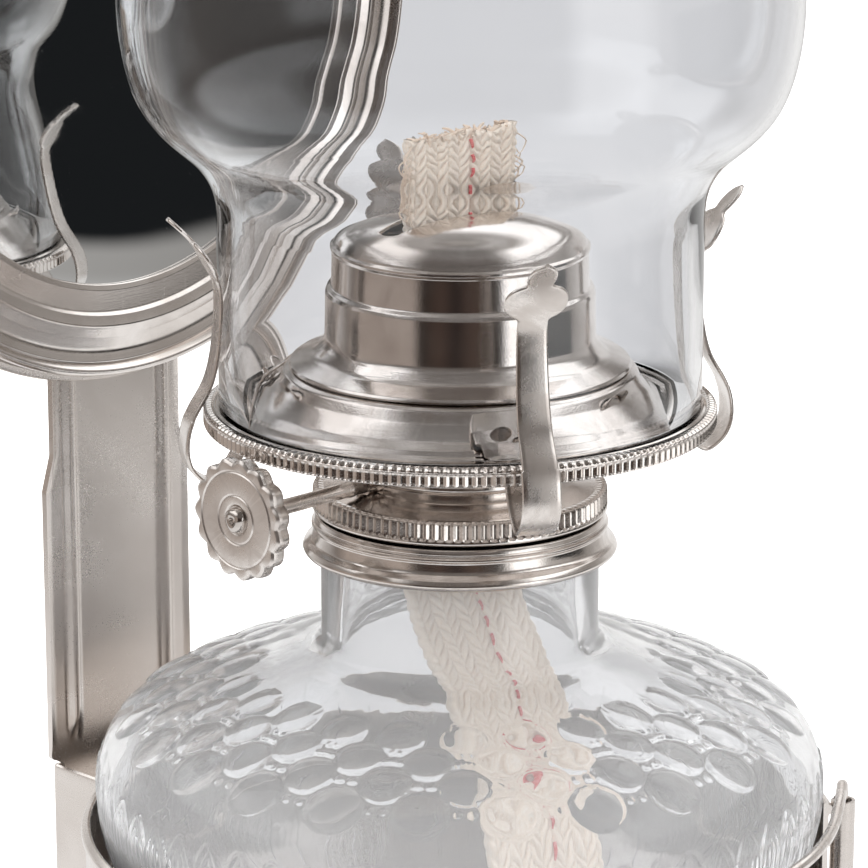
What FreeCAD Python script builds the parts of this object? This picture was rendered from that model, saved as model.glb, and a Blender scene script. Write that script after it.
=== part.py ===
import FreeCAD, Part

import math
import os

from FreeCAD import Vector

# A kerosene wall lamp: a pressed-glass font stands in a metal cup, a flat-wick burner screws into its
# collar, a glass chimney stands on the burner's gallery, and a round mirror rides on a stem behind.
# Millimetres. Z = 0 is the surface under the cup, the lamp's axis is X = Y = 0, and +Y is the wall side.

# ---- driving dimensions ------------------------------------------------------------------------------
GAP = 0.3                      # clearance between pieces that move apart
SHEET = 0.8                    # sheet metal of the cup, band, socket and gallery
THIN = 0.6                     # sheet metal of the burner's light pieces

# glass font
FONT_FOOT_Z = 1.3
FONT_FOOT_R = 40.0
FONT_WIDE_R = 57.6
FONT_WIDE_Z = 41.0
FONT_WALL = 3.2
NECK_R = 21.9
NECK_BOTTOM_Z = 64.4
NECK_TOP_Z = 83.0
NECK_BORE_R = 18.6

# font collar and burner thread
COLLAR_BOTTOM_Z = 78.0
COLLAR_TOP_Z = 84.2
COLLAR_R = 23.0
COLLAR_BEAD_R = 1.2
THREAD_R = 16.0
THREAD_CLEARANCE = 0.1
FLANGE_R = 23.1
FLANGE_TOP_Z = 88.6

# burner
BODY_R = 15.4
BODY_TOP_Z = 97.4
GALLERY_R = 40.0
GALLERY_TOP_Z = 101.8
GALLERY_RIM = 3.0
SEAT_RING_R = 31.0
SEAT_RING_TOP_R = 27.0
SEAT_RING_TOP_Z = 107.6
DOME_FLARE_R = 26.7
DOME_FLARE_Z = 108.3
DOME_R = 21.0
DOME_UPPER_R = 20.0
DOME_STEP_Z = 120.0
DOME_SHOULDER_Z = 126.0
DOME_TOP_Z = 134.2
SLOT_HALF_LENGTH = 16.4
SLOT_HALF_WIDTH = 3.2

# wick, wick tube and winder
WICK_WIDTH = 23.0
WICK_THICKNESS = 2.4
WICK_TOP_Z = 144.2
WICK_STRAIGHT_Z = 73.0
TUBE_WALL = 0.5
TUBE_CLEARANCE = 0.4
TUBE_BOTTOM_Z = 80.0
TUBE_TOP_Z = 122.0
SHAFT_R = 1.2
SHAFT_Y = 5.0
SHAFT_Z = 90.4
KNOB_R = 9.5
KNOB_FACE_X = -43.3
KNOB_SCALLOPS = 15
SPUR_R = 3.5
SPUR_TEETH = 10

# spring prongs
PRONG_AZIMUTHS = (-120.2, -30.2, 59.8, 149.8)
PRONG_WIDTH = 6.0

# chimney
CHIMNEY_BOTTOM_Z = GALLERY_TOP_Z + 0.4
CHIMNEY_FIT_R = 37.6
CHIMNEY_BULGE_R = 52.3
CHIMNEY_TOP_Z = 318.0
CHIMNEY_WALL = 2.0

# cup, band, lugs and retaining wire
CUP_FLOOR_R = 46.0
CUP_R = 58.8
CUP_TOP_Z = 19.0
BAND_R = 59.7
BAND_BOTTOM_Z = 12.0
BAND_TOP_Z = 33.6
LUG_AZIMUTH = 50.0
LUG_R = 62.2
LUG_TUBE_R = 1.95
WIRE_R = 0.9
WIRE_HOOP_R = 59.8
WIRE_Z = 35.9

# socket, stem and mirror
SOCKET_HALF_WIDTH = 14.4
SOCKET_FRONT_Y = 69.0
SOCKET_BACK_Y = 83.4
SOCKET_TOP_Z = 25.0
STEM_Y = 81.3
STEM_THICKNESS = 0.9
STEM_HALF_WIDTH = 16.0
STEM_UPPER_HALF_WIDTH = 14.2
STEM_TONGUE_HALF_WIDTH = 13.2
STEM_SHOULDER_Z = 74.0
STEM_TOP_Z = 246.0
STEM_RIB_X = 10.6
STEM_RIB_R = 1.5
HANGING_HOLE_R = 3.0
HANGING_HOLE_Z = 236.0
MIRROR_Z = 156.7
MIRROR_SEEN_R = 48.0
MIRROR_GLASS_R = 52.0
BEZEL_R = 63.5
BACK_PLATE_R = 65.0
MIRROR_FRONT_Y = 76.6

ORIGIN = Vector(0, 0, 0)
UP = Vector(0, 0, 1)
WALLWARD = Vector(0, 1, 0)


# ---- helpers -----------------------------------------------------------------------------------------
def around(azimuth, radius, height):
    """The point at an azimuth from the front (-Y), turning towards +X."""
    angle = math.radians(azimuth)
    return Vector(radius * math.sin(angle), -radius * math.cos(angle), height)


def outline_edges(outline):
    """Edges of a closed outline of (radius, height) points; points of one smooth run share a spline."""
    edges = []
    smooth = []
    points = list(outline) + [outline[0]]
    for here, after in zip(points, points[1:]):
        start = Vector(here[0], 0, here[1])
        end = Vector(after[0], 0, after[1])
        if len(here) > 2 and here[2:] == after[2:]:
            smooth = smooth or [start]
            smooth.append(end)
            continue
        if smooth:
            edges.append(spline(smooth))
            smooth = []
        edges.append(Part.LineSegment(start, end).toShape())
    if smooth:
        edges.append(spline(smooth))
    return edges


def spline(points):
    curve = Part.BSplineCurve()
    curve.interpolate(points)
    return curve.toShape()


def revolved(outline):
    """A solid of revolution about Z from a closed outline of (radius, height) points."""
    face = Part.Face(Part.Wire(outline_edges(outline)))
    return face.revolve(ORIGIN, UP, 360)


def smooth_run(points):
    """Marks (radius, height) points as one run, so that a single spline passes through them."""
    run = tuple(points)
    return [(radius, height, run) for radius, height in run]


def ring(inner, outer, bottom, top):
    tube = Part.makeCylinder(outer, top - bottom, Vector(0, 0, bottom))
    if inner <= 0:
        return tube
    return tube.cut(Part.makeCylinder(inner, top - bottom, Vector(0, 0, bottom)))


def block(x0, x1, y0, y1, z0, z1):
    return Part.makeBox(x1 - x0, y1 - y0, z1 - z0, Vector(x0, y0, z0))


def turned(shape, azimuth):
    """Turns a shape made at the front (-Y) to an azimuth."""
    copy = shape.copy()
    copy.rotate(ORIGIN, UP, azimuth)
    return copy


def facing_mirror(shape):
    """Lays a shape made about Z onto the mirror's axis, with +Z turned to face the lamp."""
    copy = shape.copy()
    copy.rotate(ORIGIN, Vector(1, 0, 0), 90)
    copy.translate(Vector(0, 0, MIRROR_Z))
    return copy


def fused(shapes):
    first, *others = shapes
    return first.fuse(others).removeSplitter() if others else first


def strip_outline(path, thickness):
    """A closed (radius, height) outline of even thickness around a path of (radius, height) points."""
    left = []
    right = []
    for index, (radius, height) in enumerate(path):
        before = path[max(index - 1, 0)]
        after = path[min(index + 1, len(path) - 1)]
        run = (after[0] - before[0], after[1] - before[1])
        length = math.hypot(*run)
        side = (-run[1] / length * thickness / 2, run[0] / length * thickness / 2)
        left.append((radius + side[0], height + side[1]))
        right.append((radius - side[0], height - side[1]))
    return smooth_run(left) + smooth_run(reversed(right))


def front_strip(path, thickness, width):
    """A strip that follows a (radius, height) path at the front, with its width along X."""
    outline = strip_outline(path, thickness)
    half = len(outline) // 2
    sides = [outline[:half], outline[half:]]
    edges = []
    for side in sides:
        edges.append(spline([Vector(-width / 2, -point[0], point[1]) for point in side]))
    for first, second in ((sides[0][-1], sides[1][0]), (sides[1][-1], sides[0][0])):
        start = Vector(-width / 2, -first[0], first[1])
        end = Vector(-width / 2, -second[0], second[1])
        edges.append(Part.LineSegment(start, end).toShape())
    face = Part.Face(Part.Wire(Part.__sortEdges__(edges)))
    return face.extrude(Vector(width, 0, 0))


def rounded_path(points, radius):
    """Straight runs through points, joined by tangent arcs of a radius or the largest that fits."""
    edges = []
    start = points[0]
    for before, corner, after in zip(points, points[1:], points[2:]):
        into = (corner - before).normalize()
        out = (after - corner).normalize()
        half_turn = into.getAngle(out) / 2
        shorter = min((corner - before).Length, (after - corner).Length)
        reach = min(radius * math.tan(half_turn), 0.45 * shorter)
        arc_start = corner - into * reach
        arc_end = corner + out * reach
        arc_radius = reach / math.tan(half_turn)
        to_centre = (out - into).normalize()
        centre = corner + to_centre * (arc_radius / math.cos(half_turn))
        middle = centre - to_centre * arc_radius
        edges.append(Part.LineSegment(start, arc_start).toShape())
        edges.append(Part.Arc(arc_start, middle, arc_end).toShape())
        start = arc_end
    edges.append(Part.LineSegment(start, points[-1]).toShape())
    return Part.Wire(edges)


def swept_rod(points, radius, corner_radius):
    path = rounded_path(points, corner_radius)
    section = Part.Wire(Part.makeCircle(radius, points[0], points[1] - points[0]))
    return path.makePipeShell([section], True, False)


# ---- holder: cup, band, lugs, socket -----------------------------------------------------------------
BAND_RIVETS = (62, 100, 140, -62, -100, -140)
BAND_RIVET_Z = 16.0
BAND_RIVET_R = 1.7


def band_rivet_holes():
    """The holes that the band's rivets fill."""
    radius = BAND_RIVET_R * 0.5
    hole = Part.makeCylinder(radius, 4, Vector(0, -BAND_R - 1, BAND_RIVET_Z), WALLWARD)
    return Part.makeCompound([turned(hole, azimuth) for azimuth in BAND_RIVETS])


def holder_cup():
    cup = revolved([
        (0, 0), (CUP_FLOOR_R, 0),
        *smooth_run([(CUP_FLOOR_R + 3.0, 1.6), (CUP_FLOOR_R + 8.0, 6.6), (CUP_R, CUP_TOP_Z - 5)]),
        (CUP_R, CUP_TOP_Z), (CUP_R - SHEET, CUP_TOP_Z),
        *smooth_run([(CUP_R - SHEET, CUP_TOP_Z - 5.2), (CUP_FLOOR_R + 7.4, 7.1), (CUP_FLOOR_R + 2.5, 2.3)]),
        (CUP_FLOOR_R - 0.4, SHEET), (0, SHEET),
    ])
    return cup.cut(band_rivet_holes())


def holder_band():
    band = ring(CUP_R + 0.02, BAND_R, BAND_BOTTOM_Z, BAND_TOP_Z)
    open_angle = math.radians(LUG_AZIMUTH - 1.5)
    reach = 2 * BAND_R
    corner_x = reach * math.tan(open_angle)
    wedge = Part.Face(Part.makePolygon([ORIGIN, Vector(-corner_x, -reach, 0), Vector(corner_x, -reach, 0), ORIGIN]))
    band = band.cut(wedge.extrude(Vector(0, 0, 100)))
    beads = []
    for height in (BAND_BOTTOM_Z + 1.2, BAND_TOP_Z - 1.2):
        bead = Part.makeTorus(BAND_R - 0.1, 0.8, Vector(0, 0, height), UP)
        bead = bead.cut(wedge.extrude(Vector(0, 0, 100))).cut(ring(0, CUP_R + 0.02, 0, 100))
        beads.append(bead)
    return fused([band, *beads]).cut(band_rivet_holes())


def lug_tube(azimuth):
    centre = around(azimuth, LUG_R, BAND_BOTTOM_Z)
    height = BAND_TOP_Z - BAND_BOTTOM_Z
    tube = Part.makeCylinder(LUG_TUBE_R, height, centre)
    web = block(-0.6, 0.6, -LUG_R, -BAND_R - 0.75, BAND_BOTTOM_Z, BAND_TOP_Z - 1.5)
    lug = tube.fuse(turned(web, azimuth))
    bore = Part.makeCylinder(WIRE_R + 0.25, height - 2.0, centre + Vector(0, 0, 2.0))
    return lug.cut(bore).removeSplitter()


def rolled_lugs():
    return Part.makeCompound([lug_tube(LUG_AZIMUTH), lug_tube(-LUG_AZIMUTH)])


def radial_rivet(azimuth, radius, height, head_radius, length):
    """A domed rivet whose head stands on a surface of the given radius and faces outwards."""
    head = Part.makeSphere(head_radius * 1.3, Vector(0, 0, -0.82 * head_radius))
    head = head.common(block(-5, 5, -5, 5, 0, 5))
    rivet = head.fuse(Part.makeCylinder(head_radius * 0.5, length, Vector(0, 0, -length)))
    rivet.rotate(ORIGIN, Vector(1, 0, 0), 90)
    rivet.translate(Vector(0, -radius, height))
    return turned(rivet, azimuth)


def band_rivets():
    rivets = [radial_rivet(azimuth, BAND_R, BAND_RIVET_Z, BAND_RIVET_R, 1.7) for azimuth in BAND_RIVETS]
    return Part.makeCompound(rivets)


ARM_HALF_WIDTH = 9.0
ARM_BOTTOM_Z = 3.0
ARM_TOP_Z = 22.0


def bracket_arm():
    """A folded channel between the back of the band and the socket, with two ears on the socket."""
    outer = block(-ARM_HALF_WIDTH, ARM_HALF_WIDTH, 50, SOCKET_FRONT_Y, ARM_BOTTOM_Z, ARM_TOP_Z)
    inner = block(-ARM_HALF_WIDTH + 1, ARM_HALF_WIDTH - 1, 40, 90, 0, ARM_TOP_Z - 1)
    ears = block(-13.0, 13.0, SOCKET_FRONT_Y - 1, SOCKET_FRONT_Y, ARM_BOTTOM_Z, ARM_TOP_Z - 3)
    ears = ears.cut(block(-ARM_HALF_WIDTH + 1, ARM_HALF_WIDTH - 1, 40, 90, 0, ARM_TOP_Z - 1))
    arm = outer.cut(inner).fuse(ears)
    return arm.cut(Part.makeCylinder(BAND_R + 0.72, 100)).removeSplitter()


def arm_rivets():
    rivets = []
    for side in (-1, 1):
        for height in (7.0, 15.0):
            head = Part.makeCylinder(1.5, 0.8, Vector(side * 11.0, SOCKET_FRONT_Y - 1.8, height), WALLWARD)
            rivets.append(head)
    return Part.makeCompound(rivets)


def stem_socket():
    wall = SHEET
    outer = block(-SOCKET_HALF_WIDTH, SOCKET_HALF_WIDTH, SOCKET_FRONT_Y, SOCKET_BACK_Y, 0, SOCKET_TOP_Z)
    inner = block(
        -SOCKET_HALF_WIDTH + wall, SOCKET_HALF_WIDTH - wall, SOCKET_FRONT_Y + wall, SOCKET_BACK_Y - wall, wall, 60,
    )
    corners = [edge for edge in outer.Edges if abs(edge.Length - SOCKET_TOP_Z) < 0.01]
    return outer.makeFillet(0.7, corners).cut(inner)


def socket_spring():
    """A bowed leaf spring that holds the stem's tongue against the back of the socket."""
    front = SOCKET_FRONT_Y + SHEET + 0.35
    path = [(-front, 4.0), (-front - 1.0, 7.0), (-STEM_Y + 1.3, 13.0), (-front - 1.0, 19.0), (-front, 22.5)]
    return front_strip(path, 0.5, 12.0)


# ---- retaining wire ----------------------------------------------------------------------------------
def retaining_wire():
    points = [around(-LUG_AZIMUTH, LUG_R, 16.0), around(-LUG_AZIMUTH, LUG_R, WIRE_Z + 1.6)]
    points.append(around(-42, WIRE_HOOP_R + 0.9, WIRE_Z + 1.0))
    points += [around(azimuth, WIRE_HOOP_R + 0.4, WIRE_Z) for azimuth in range(-30, 31, 12)]
    points.append(around(42, WIRE_HOOP_R + 0.9, WIRE_Z + 1.0))
    points += [around(LUG_AZIMUTH, LUG_R, WIRE_Z + 1.6), around(LUG_AZIMUTH, LUG_R, 16.0)]
    return swept_rod(points, WIRE_R, 60.0)


# ---- reflector: stem, mirror and frame ---------------------------------------------------------------
def stem_plate():
    tongue = STEM_TONGUE_HALF_WIDTH
    wide = STEM_HALF_WIDTH
    narrow = STEM_UPPER_HALF_WIDTH
    right = [
        (tongue, SHEET + GAP), (tongue, SOCKET_TOP_Z + GAP), (wide, SOCKET_TOP_Z + 1.5),
        (wide, STEM_SHOULDER_Z), (narrow, STEM_SHOULDER_Z + 6.0), (narrow, STEM_TOP_Z - narrow),
    ]
    corners = [Vector(x, STEM_Y, z) for x, z in right]
    mirrored = [Vector(-x, STEM_Y, z) for x, z in reversed(right)]
    edges = [Part.LineSegment(a, b).toShape() for a, b in zip(corners, corners[1:])]
    edges.append(Part.Arc(corners[-1], Vector(0, STEM_Y, STEM_TOP_Z), mirrored[0]).toShape())
    edges += [Part.LineSegment(a, b).toShape() for a, b in zip(mirrored, mirrored[1:])]
    edges.append(Part.LineSegment(mirrored[-1], corners[0]).toShape())
    return Part.Face(Part.Wire(edges)).extrude(Vector(0, STEM_THICKNESS, 0))


def stem():
    pieces = [stem_plate()]
    for side in (-1, 1):
        rib = Part.makeCylinder(STEM_RIB_R, STEM_TOP_Z - 60, Vector(side * STEM_RIB_X, STEM_Y + 0.3, 30))
        cap_low = Part.makeSphere(STEM_RIB_R, Vector(side * STEM_RIB_X, STEM_Y + 0.3, 30))
        cap_high = Part.makeSphere(STEM_RIB_R, Vector(side * STEM_RIB_X, STEM_Y + 0.3, STEM_TOP_Z - 30))
        pieces.append(fused([rib, cap_low, cap_high]).common(block(-20, 20, 70, STEM_Y + 0.5, 0, 300)))
    hole = Part.makeCylinder(HANGING_HOLE_R, 10, Vector(0, STEM_Y - 5, HANGING_HOLE_Z), WALLWARD)
    return fused(pieces).cut(hole)


def mirror_glass():
    glass = Part.makeCylinder(MIRROR_GLASS_R, 1.8, Vector(0, 0, -MIRROR_FRONT_Y - 1.8))
    edge = [e for e in glass.Edges if abs(e.BoundBox.ZMin + MIRROR_FRONT_Y) < 0.01 and e.BoundBox.XLength > 1]
    return facing_mirror(glass.makeChamfer(0.4, edge[:1]))


def mirror_backing():
    bottom = -MIRROR_FRONT_Y - 2.3
    return facing_mirror(Part.makeCylinder(MIRROR_GLASS_R - 0.5, 0.4, Vector(0, 0, bottom)))


def mirror_bezel():
    """The dished ring round the mirror: a lip, a ridge, a hollow and a rolled edge nearest the lamp."""
    front = -MIRROR_FRONT_Y + 0.1
    seen = MIRROR_SEEN_R
    sheet = [
        (seen, front + THIN), (seen, front), (seen + 5.0, front),
        *smooth_run([(seen + 5.6, front + 0.5), (seen + 7.0, front + 1.1), (seen + 8.6, front + 0.2)]),
        *smooth_run([(seen + 11.5, front - 0.5), (BEZEL_R - 2.2, front + 0.2)]),
        (BEZEL_R - 1.0, front + 0.6), (BEZEL_R - 1.0, front - 2.0), (BEZEL_R - 0.4, front - 2.0),
        (BEZEL_R - 0.4, front + 1.4), (BEZEL_R - 2.2, front + 0.9),
        *smooth_run([(seen + 11.5, front + 0.15), (seen + 8.6, front + 0.85), (seen + 7.0, front + 1.75)]),
        *smooth_run([(seen + 5.4, front + 1.15)]), (seen + 4.8, front + THIN),
    ]
    bead = Part.makeTorus(BEZEL_R - 1.0, 1.0, Vector(0, 0, front + 1.2), UP)
    return facing_mirror(fused([revolved(sheet), bead]))


def mirror_back_plate():
    front = -MIRROR_FRONT_Y - 2.4
    edge_r = 0.65
    plate = Part.makeCylinder(BACK_PLATE_R - edge_r, 0.7, Vector(0, 0, front - 0.7))
    bead = Part.makeTorus(BACK_PLATE_R - edge_r, edge_r, Vector(0, 0, front - 0.35), UP)
    return facing_mirror(fused([plate, bead]))


def mirror_rivets():
    """Spacer rivets between the back plate and the stem."""
    start = MIRROR_FRONT_Y + 3.1
    rivets = []
    for offset in (-28, 28):
        for side in (-1, 1):
            centre = Vector(side * 5.0, start, MIRROR_Z + offset)
            rivets.append(Part.makeCylinder(2.2, STEM_Y - start, centre, WALLWARD))
    return Part.makeCompound(rivets)


# ---- font --------------------------------------------------------------------------------------------
def font():
    outer = [
        (FONT_FOOT_R + 0.6, 3.2), (FONT_FOOT_R + 3.6, 8.0), (50.0, 17.5), (54.6, 26.5), (57.0, 34.5),
        (FONT_WIDE_R, FONT_WIDE_Z), (55.6, 48.0), (50.4, 52.4), (41.5, 56.3), (32.5, 59.6),
        (26.0, 61.8), (23.0, 62.9), (NECK_R, NECK_BOTTOM_Z),
    ]
    inner = [
        (NECK_BORE_R, NECK_BOTTOM_Z - 1.0), (20.4, 60.2), (24.6, 58.6), (31.4, 56.3), (40.2, 53.1),
        (48.2, 49.6), (52.6, 45.6), (FONT_WIDE_R - FONT_WALL, FONT_WIDE_Z), (53.7, 34.5), (51.3, 27.0),
        (46.9, 18.5), (41.0, 10.5), (36.0, 7.2),
    ]
    return revolved([
        (0, 2.8), (FONT_FOOT_R - 6, 2.8), (FONT_FOOT_R - 5, FONT_FOOT_Z), (FONT_FOOT_R, FONT_FOOT_Z),
        *smooth_run(outer), (NECK_R, NECK_TOP_Z), (NECK_BORE_R, NECK_TOP_Z),
        *smooth_run(inner), (30.0, 6.4), (0, 6.4),
    ])


def font_collar():
    throat = THREAD_R + THREAD_CLEARANCE
    skirt = revolved([
        (NECK_R + 0.15, COLLAR_BOTTOM_Z), (COLLAR_R, COLLAR_BOTTOM_Z), (COLLAR_R, 82.0), (COLLAR_R - 0.5, 82.4),
        (COLLAR_R - 0.1, 83.0), (COLLAR_R - 0.5, 83.6), (COLLAR_R - 0.8, COLLAR_TOP_Z), (throat, COLLAR_TOP_Z),
        (throat, 76.0), (throat + 0.7, 76.0), (throat + 0.7, COLLAR_TOP_Z - 0.8),
        (NECK_R + 0.15, COLLAR_TOP_Z - 0.8),
    ])
    bead = Part.makeTorus(COLLAR_R + 0.6, COLLAR_BEAD_R, Vector(0, 0, COLLAR_BOTTOM_Z + 1.0), UP)
    bead = bead.cut(ring(0, NECK_R + 0.15, 60, 90))
    return fused([skirt, bead])


def collar_plaster():
    throat = THREAD_R + THREAD_CLEARANCE + 0.75
    top = COLLAR_TOP_Z - 0.85
    return revolved([
        (throat, 76.4), (NECK_BORE_R - 0.05, 76.4), (NECK_BORE_R - 0.05, NECK_TOP_Z + 0.05),
        (NECK_R + 0.1, NECK_TOP_Z + 0.05), (NECK_R + 0.1, top), (throat, top),
    ])


# ---- burner ------------------------------------------------------------------------------------------
def burner_base():
    """The threaded ferrule with the flange that a hand turns."""
    bottom = COLLAR_TOP_Z + 0.45
    ferrule = [(THREAD_R - 0.9, 77.0), (THREAD_R - 0.25, 77.0)]
    pitch = 1.8
    for turn in range(4):
        height = 77.4 + turn * pitch
        ferrule += [(THREAD_R, height + 0.3), (THREAD_R, height + 0.9), (THREAD_R - 0.35, height + 1.3)]
    ferrule += [
        (THREAD_R - 0.35, bottom), (FLANGE_R - 0.3, bottom), (FLANGE_R, bottom + 0.4),
        (FLANGE_R, FLANGE_TOP_Z - 0.4), (FLANGE_R - 0.5, FLANGE_TOP_Z), (THREAD_R - 0.9, FLANGE_TOP_Z),
    ]
    return revolved(ferrule)


def burner_body():
    """The neck between the flange and the gallery, with a row of air holes and the shaft's hole."""
    body = revolved([
        (BODY_R - THIN, FLANGE_TOP_Z), (BODY_R, FLANGE_TOP_Z), (BODY_R, 94.0),
        *smooth_run([(BODY_R, 94.6), (BODY_R + 0.8, 96.4), (BODY_R + 3.4, BODY_TOP_Z)]),
        (BODY_R + 3.4, BODY_TOP_Z + THIN),
        *smooth_run([(BODY_R + 2.6, BODY_TOP_Z + 0.5), (BODY_R + 0.1, 96.6), (BODY_R - THIN, 94.8)]),
    ])
    shaft_hole = Part.makeCylinder(SHAFT_R + 0.5, 30, Vector(-30, SHAFT_Y, SHAFT_Z), Vector(1, 0, 0))
    return body.cut(shaft_hole)


def shaft_sleeve():
    start = -math.sqrt(BODY_R ** 2 - SHAFT_Y ** 2) - 2.0
    axis = Vector(1, 0, 0)
    origin = Vector(start, SHAFT_Y, SHAFT_Z)
    sleeve = Part.makeCylinder(SHAFT_R + 0.5, 4.0, origin, axis)
    return sleeve.cut(Part.makeCylinder(SHAFT_R + 0.05, 10, origin - axis * 3, axis))


def gallery():
    top = GALLERY_TOP_Z
    rim = top - GALLERY_RIM
    sheet = revolved([
        (BODY_R + 0.8, BODY_TOP_Z + 0.7), (27.0, 100.2), (28.0, top - SHEET), (GALLERY_R - 1.2, top - SHEET),
        (GALLERY_R - 0.8, top - 1.3), (GALLERY_R - 0.8, rim), (GALLERY_R, rim), (GALLERY_R, top - 0.7),
        (GALLERY_R - 0.6, top), (27.6, top), (26.6, 101.0), (BODY_R + 0.8, BODY_TOP_Z + 1.4),
    ])
    return sheet


def prong_path():
    """The upright part of a prong as (radius, height) points, from its bottom loop to its head."""
    return [
        (41.2, 92.3), (43.2, 94.4), (43.9, 98.6), (42.6, 103.0), (40.5, 106.6), (39.1, 111.2),
        (38.5, 116.0), (38.3, 120.0), (38.7, 123.6), (40.4, 127.2), (43.2, 130.6), (46.0, 133.4),
    ]


def prong_head_outline():
    """The front view of a prong: a tapered strap with a three-lobed head."""
    strap = Part.Face(Part.makePolygon([
        Vector(-3.1, 0, 88), Vector(3.1, 0, 88), Vector(2.2, 0, 129), Vector(-2.2, 0, 129), Vector(-3.1, 0, 88),
    ])).extrude(Vector(0, -60, 0))
    lobes = []
    for x, z, radius in ((0, 131.0, 2.2), (-2.2, 126.7, 2.7), (2.2, 126.7, 2.7), (0, 128.0, 2.4)):
        lobes.append(Part.makeCylinder(radius, 60, Vector(x, 0, z), Vector(0, -1, 0)))
    return fused([strap, *lobes])


def prong(azimuth):
    strip = front_strip(prong_path(), THIN, 12.0)
    return turned(strip.common(prong_head_outline()), azimuth)


def prong_feet():
    """The feet under the gallery that carry the four prongs."""
    path = [(40.5, 91.9), (38.2, 92.6), (36.0, 95.4), (33.6, 98.8), (31.5, 100.3), (29.4, 100.68)]
    foot = front_strip(path, THIN, PRONG_WIDTH)
    return Part.makeCompound([turned(foot, azimuth) for azimuth in PRONG_AZIMUTHS])


def seat_ring():
    """The raised ring that the deflector stands over, with a window between each pair of tabs."""
    top = SEAT_RING_TOP_Z
    shell = revolved([
        (SEAT_RING_R - 0.6, GALLERY_TOP_Z), (SEAT_RING_R, GALLERY_TOP_Z), (SEAT_RING_R - 0.4, GALLERY_TOP_Z + 0.8),
        (SEAT_RING_TOP_R + 0.4, top - 0.6), (SEAT_RING_TOP_R - 0.4, top), (SEAT_RING_TOP_R - 2.0, top),
        (SEAT_RING_TOP_R - 2.0, top - THIN), (SEAT_RING_TOP_R - 0.6, top - THIN),
        (SEAT_RING_R - 1.2, GALLERY_TOP_Z + 0.8),
    ])
    return shell


def air_plate():
    """The perforated plate that spreads the air round the wick tube."""
    z = GALLERY_TOP_Z + 0.5
    plate = ring(0, SEAT_RING_R - 2.6, z, z + THIN)
    slot = wick_slab(TUBE_CLEARANCE + TUBE_WALL + 0.1, z - 1, z + 2)
    holes = []
    for radius, count in ((17.0, 20), (20.6, 24), (24.2, 28)):
        for index in range(count):
            centre = around(360.0 * index / count, radius, z - 1)
            holes.append(Part.makeCylinder(1.2, 4, centre))
    return plate.cut(Part.makeCompound(holes)).cut(slot)


def wick_slab(margin, bottom, top):
    """A slab round the wick's section, grown by a margin."""
    half_width = WICK_WIDTH / 2 + margin
    half_depth = WICK_THICKNESS / 2 + margin
    return block(-half_width, half_width, -half_depth, half_depth, bottom, top)


def wick_tube():
    tube = wick_slab(TUBE_CLEARANCE + TUBE_WALL, TUBE_BOTTOM_Z, TUBE_TOP_Z)
    tube = tube.cut(wick_slab(TUBE_CLEARANCE, TUBE_BOTTOM_Z - 1, TUBE_TOP_Z + 1))
    for x in SPUR_CENTRES:
        tube = tube.cut(block(x - 1.1, x + 1.1, 1.0, 4.0, SHAFT_Z - 4.2, SHAFT_Z + 4.2))
    return tube


def tube_plate():
    """The plate across the burner's neck that holds the wick tube."""
    z = FLANGE_TOP_Z - 4.2
    plate = ring(0, THREAD_R - 0.95, z, z + THIN)
    return plate.cut(wick_slab(TUBE_CLEARANCE + TUBE_WALL + 0.02, z - 1, z + 2))


def dome():
    """The removable deflector: a flared foot, two stepped bands and a rounded top with the wick slot."""
    outer = [
        (DOME_FLARE_R - 0.4, DOME_FLARE_Z), (DOME_FLARE_R, DOME_FLARE_Z + 0.3), (DOME_FLARE_R - 0.4, DOME_FLARE_Z + 0.7),
        (DOME_R + 1.5, DOME_FLARE_Z + 1.5), (DOME_R, DOME_FLARE_Z + 3.0), (DOME_R, DOME_STEP_Z - 0.4),
        (DOME_UPPER_R + 0.1, DOME_STEP_Z + 0.5), (DOME_UPPER_R, DOME_SHOULDER_Z),
    ]
    top = smooth_run([(DOME_UPPER_R, DOME_SHOULDER_Z), (18.6, 129.2), (14.8, 131.9), (8.0, 133.7), (0, DOME_TOP_Z)])
    under = smooth_run([
        (0, DOME_TOP_Z - THIN), (7.9, 133.1), (14.5, 131.3), (18.1, 128.8), (DOME_UPPER_R - THIN, DOME_SHOULDER_Z),
    ])
    inner = [
        (DOME_UPPER_R - THIN, DOME_STEP_Z + 0.3), (DOME_R - THIN, DOME_STEP_Z - 0.7), (DOME_R - THIN, DOME_FLARE_Z + 2.8),
        (DOME_R + 1.1, DOME_FLARE_Z + 0.9),
    ]
    shell = revolved([*outer[:-1], *top, *under, *inner])
    return shell.cut(wick_slot())


def wick_slot():
    """The long round-ended hole in the deflector's top."""
    bottom, height = DOME_SHOULDER_Z + 1, 12
    straight = SLOT_HALF_LENGTH - SLOT_HALF_WIDTH
    middle = block(-straight, straight, -SLOT_HALF_WIDTH, SLOT_HALF_WIDTH, bottom, bottom + height)
    ends = [Part.makeCylinder(SLOT_HALF_WIDTH, height, Vector(x, 0, bottom)) for x in (-straight, straight)]
    return fused([middle, *ends])


# ---- wick and winder ---------------------------------------------------------------------------------
SPUR_CENTRES = (-7.5, 0.0, 7.5)
SHAFT_END_X = 11.0


def wick():
    path = [
        (0.0, WICK_TOP_Z), (0.0, 120.0), (0.0, 96.0), (0.0, WICK_STRAIGHT_Z), (2.0, 67.6), (6.2, 61.0),
        (11.6, 51.0), (16.6, 38.5), (19.4, 28.0), (20.2, 21.0),
    ]
    straight = wick_slab(0, WICK_STRAIGHT_Z, WICK_TOP_Z)
    tail = front_strip([(0.0, WICK_STRAIGHT_Z + 0.02), (0.0, WICK_STRAIGHT_Z - 0.6), *path[4:]], WICK_THICKNESS, WICK_WIDTH)
    return fused([straight, tail])


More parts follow.
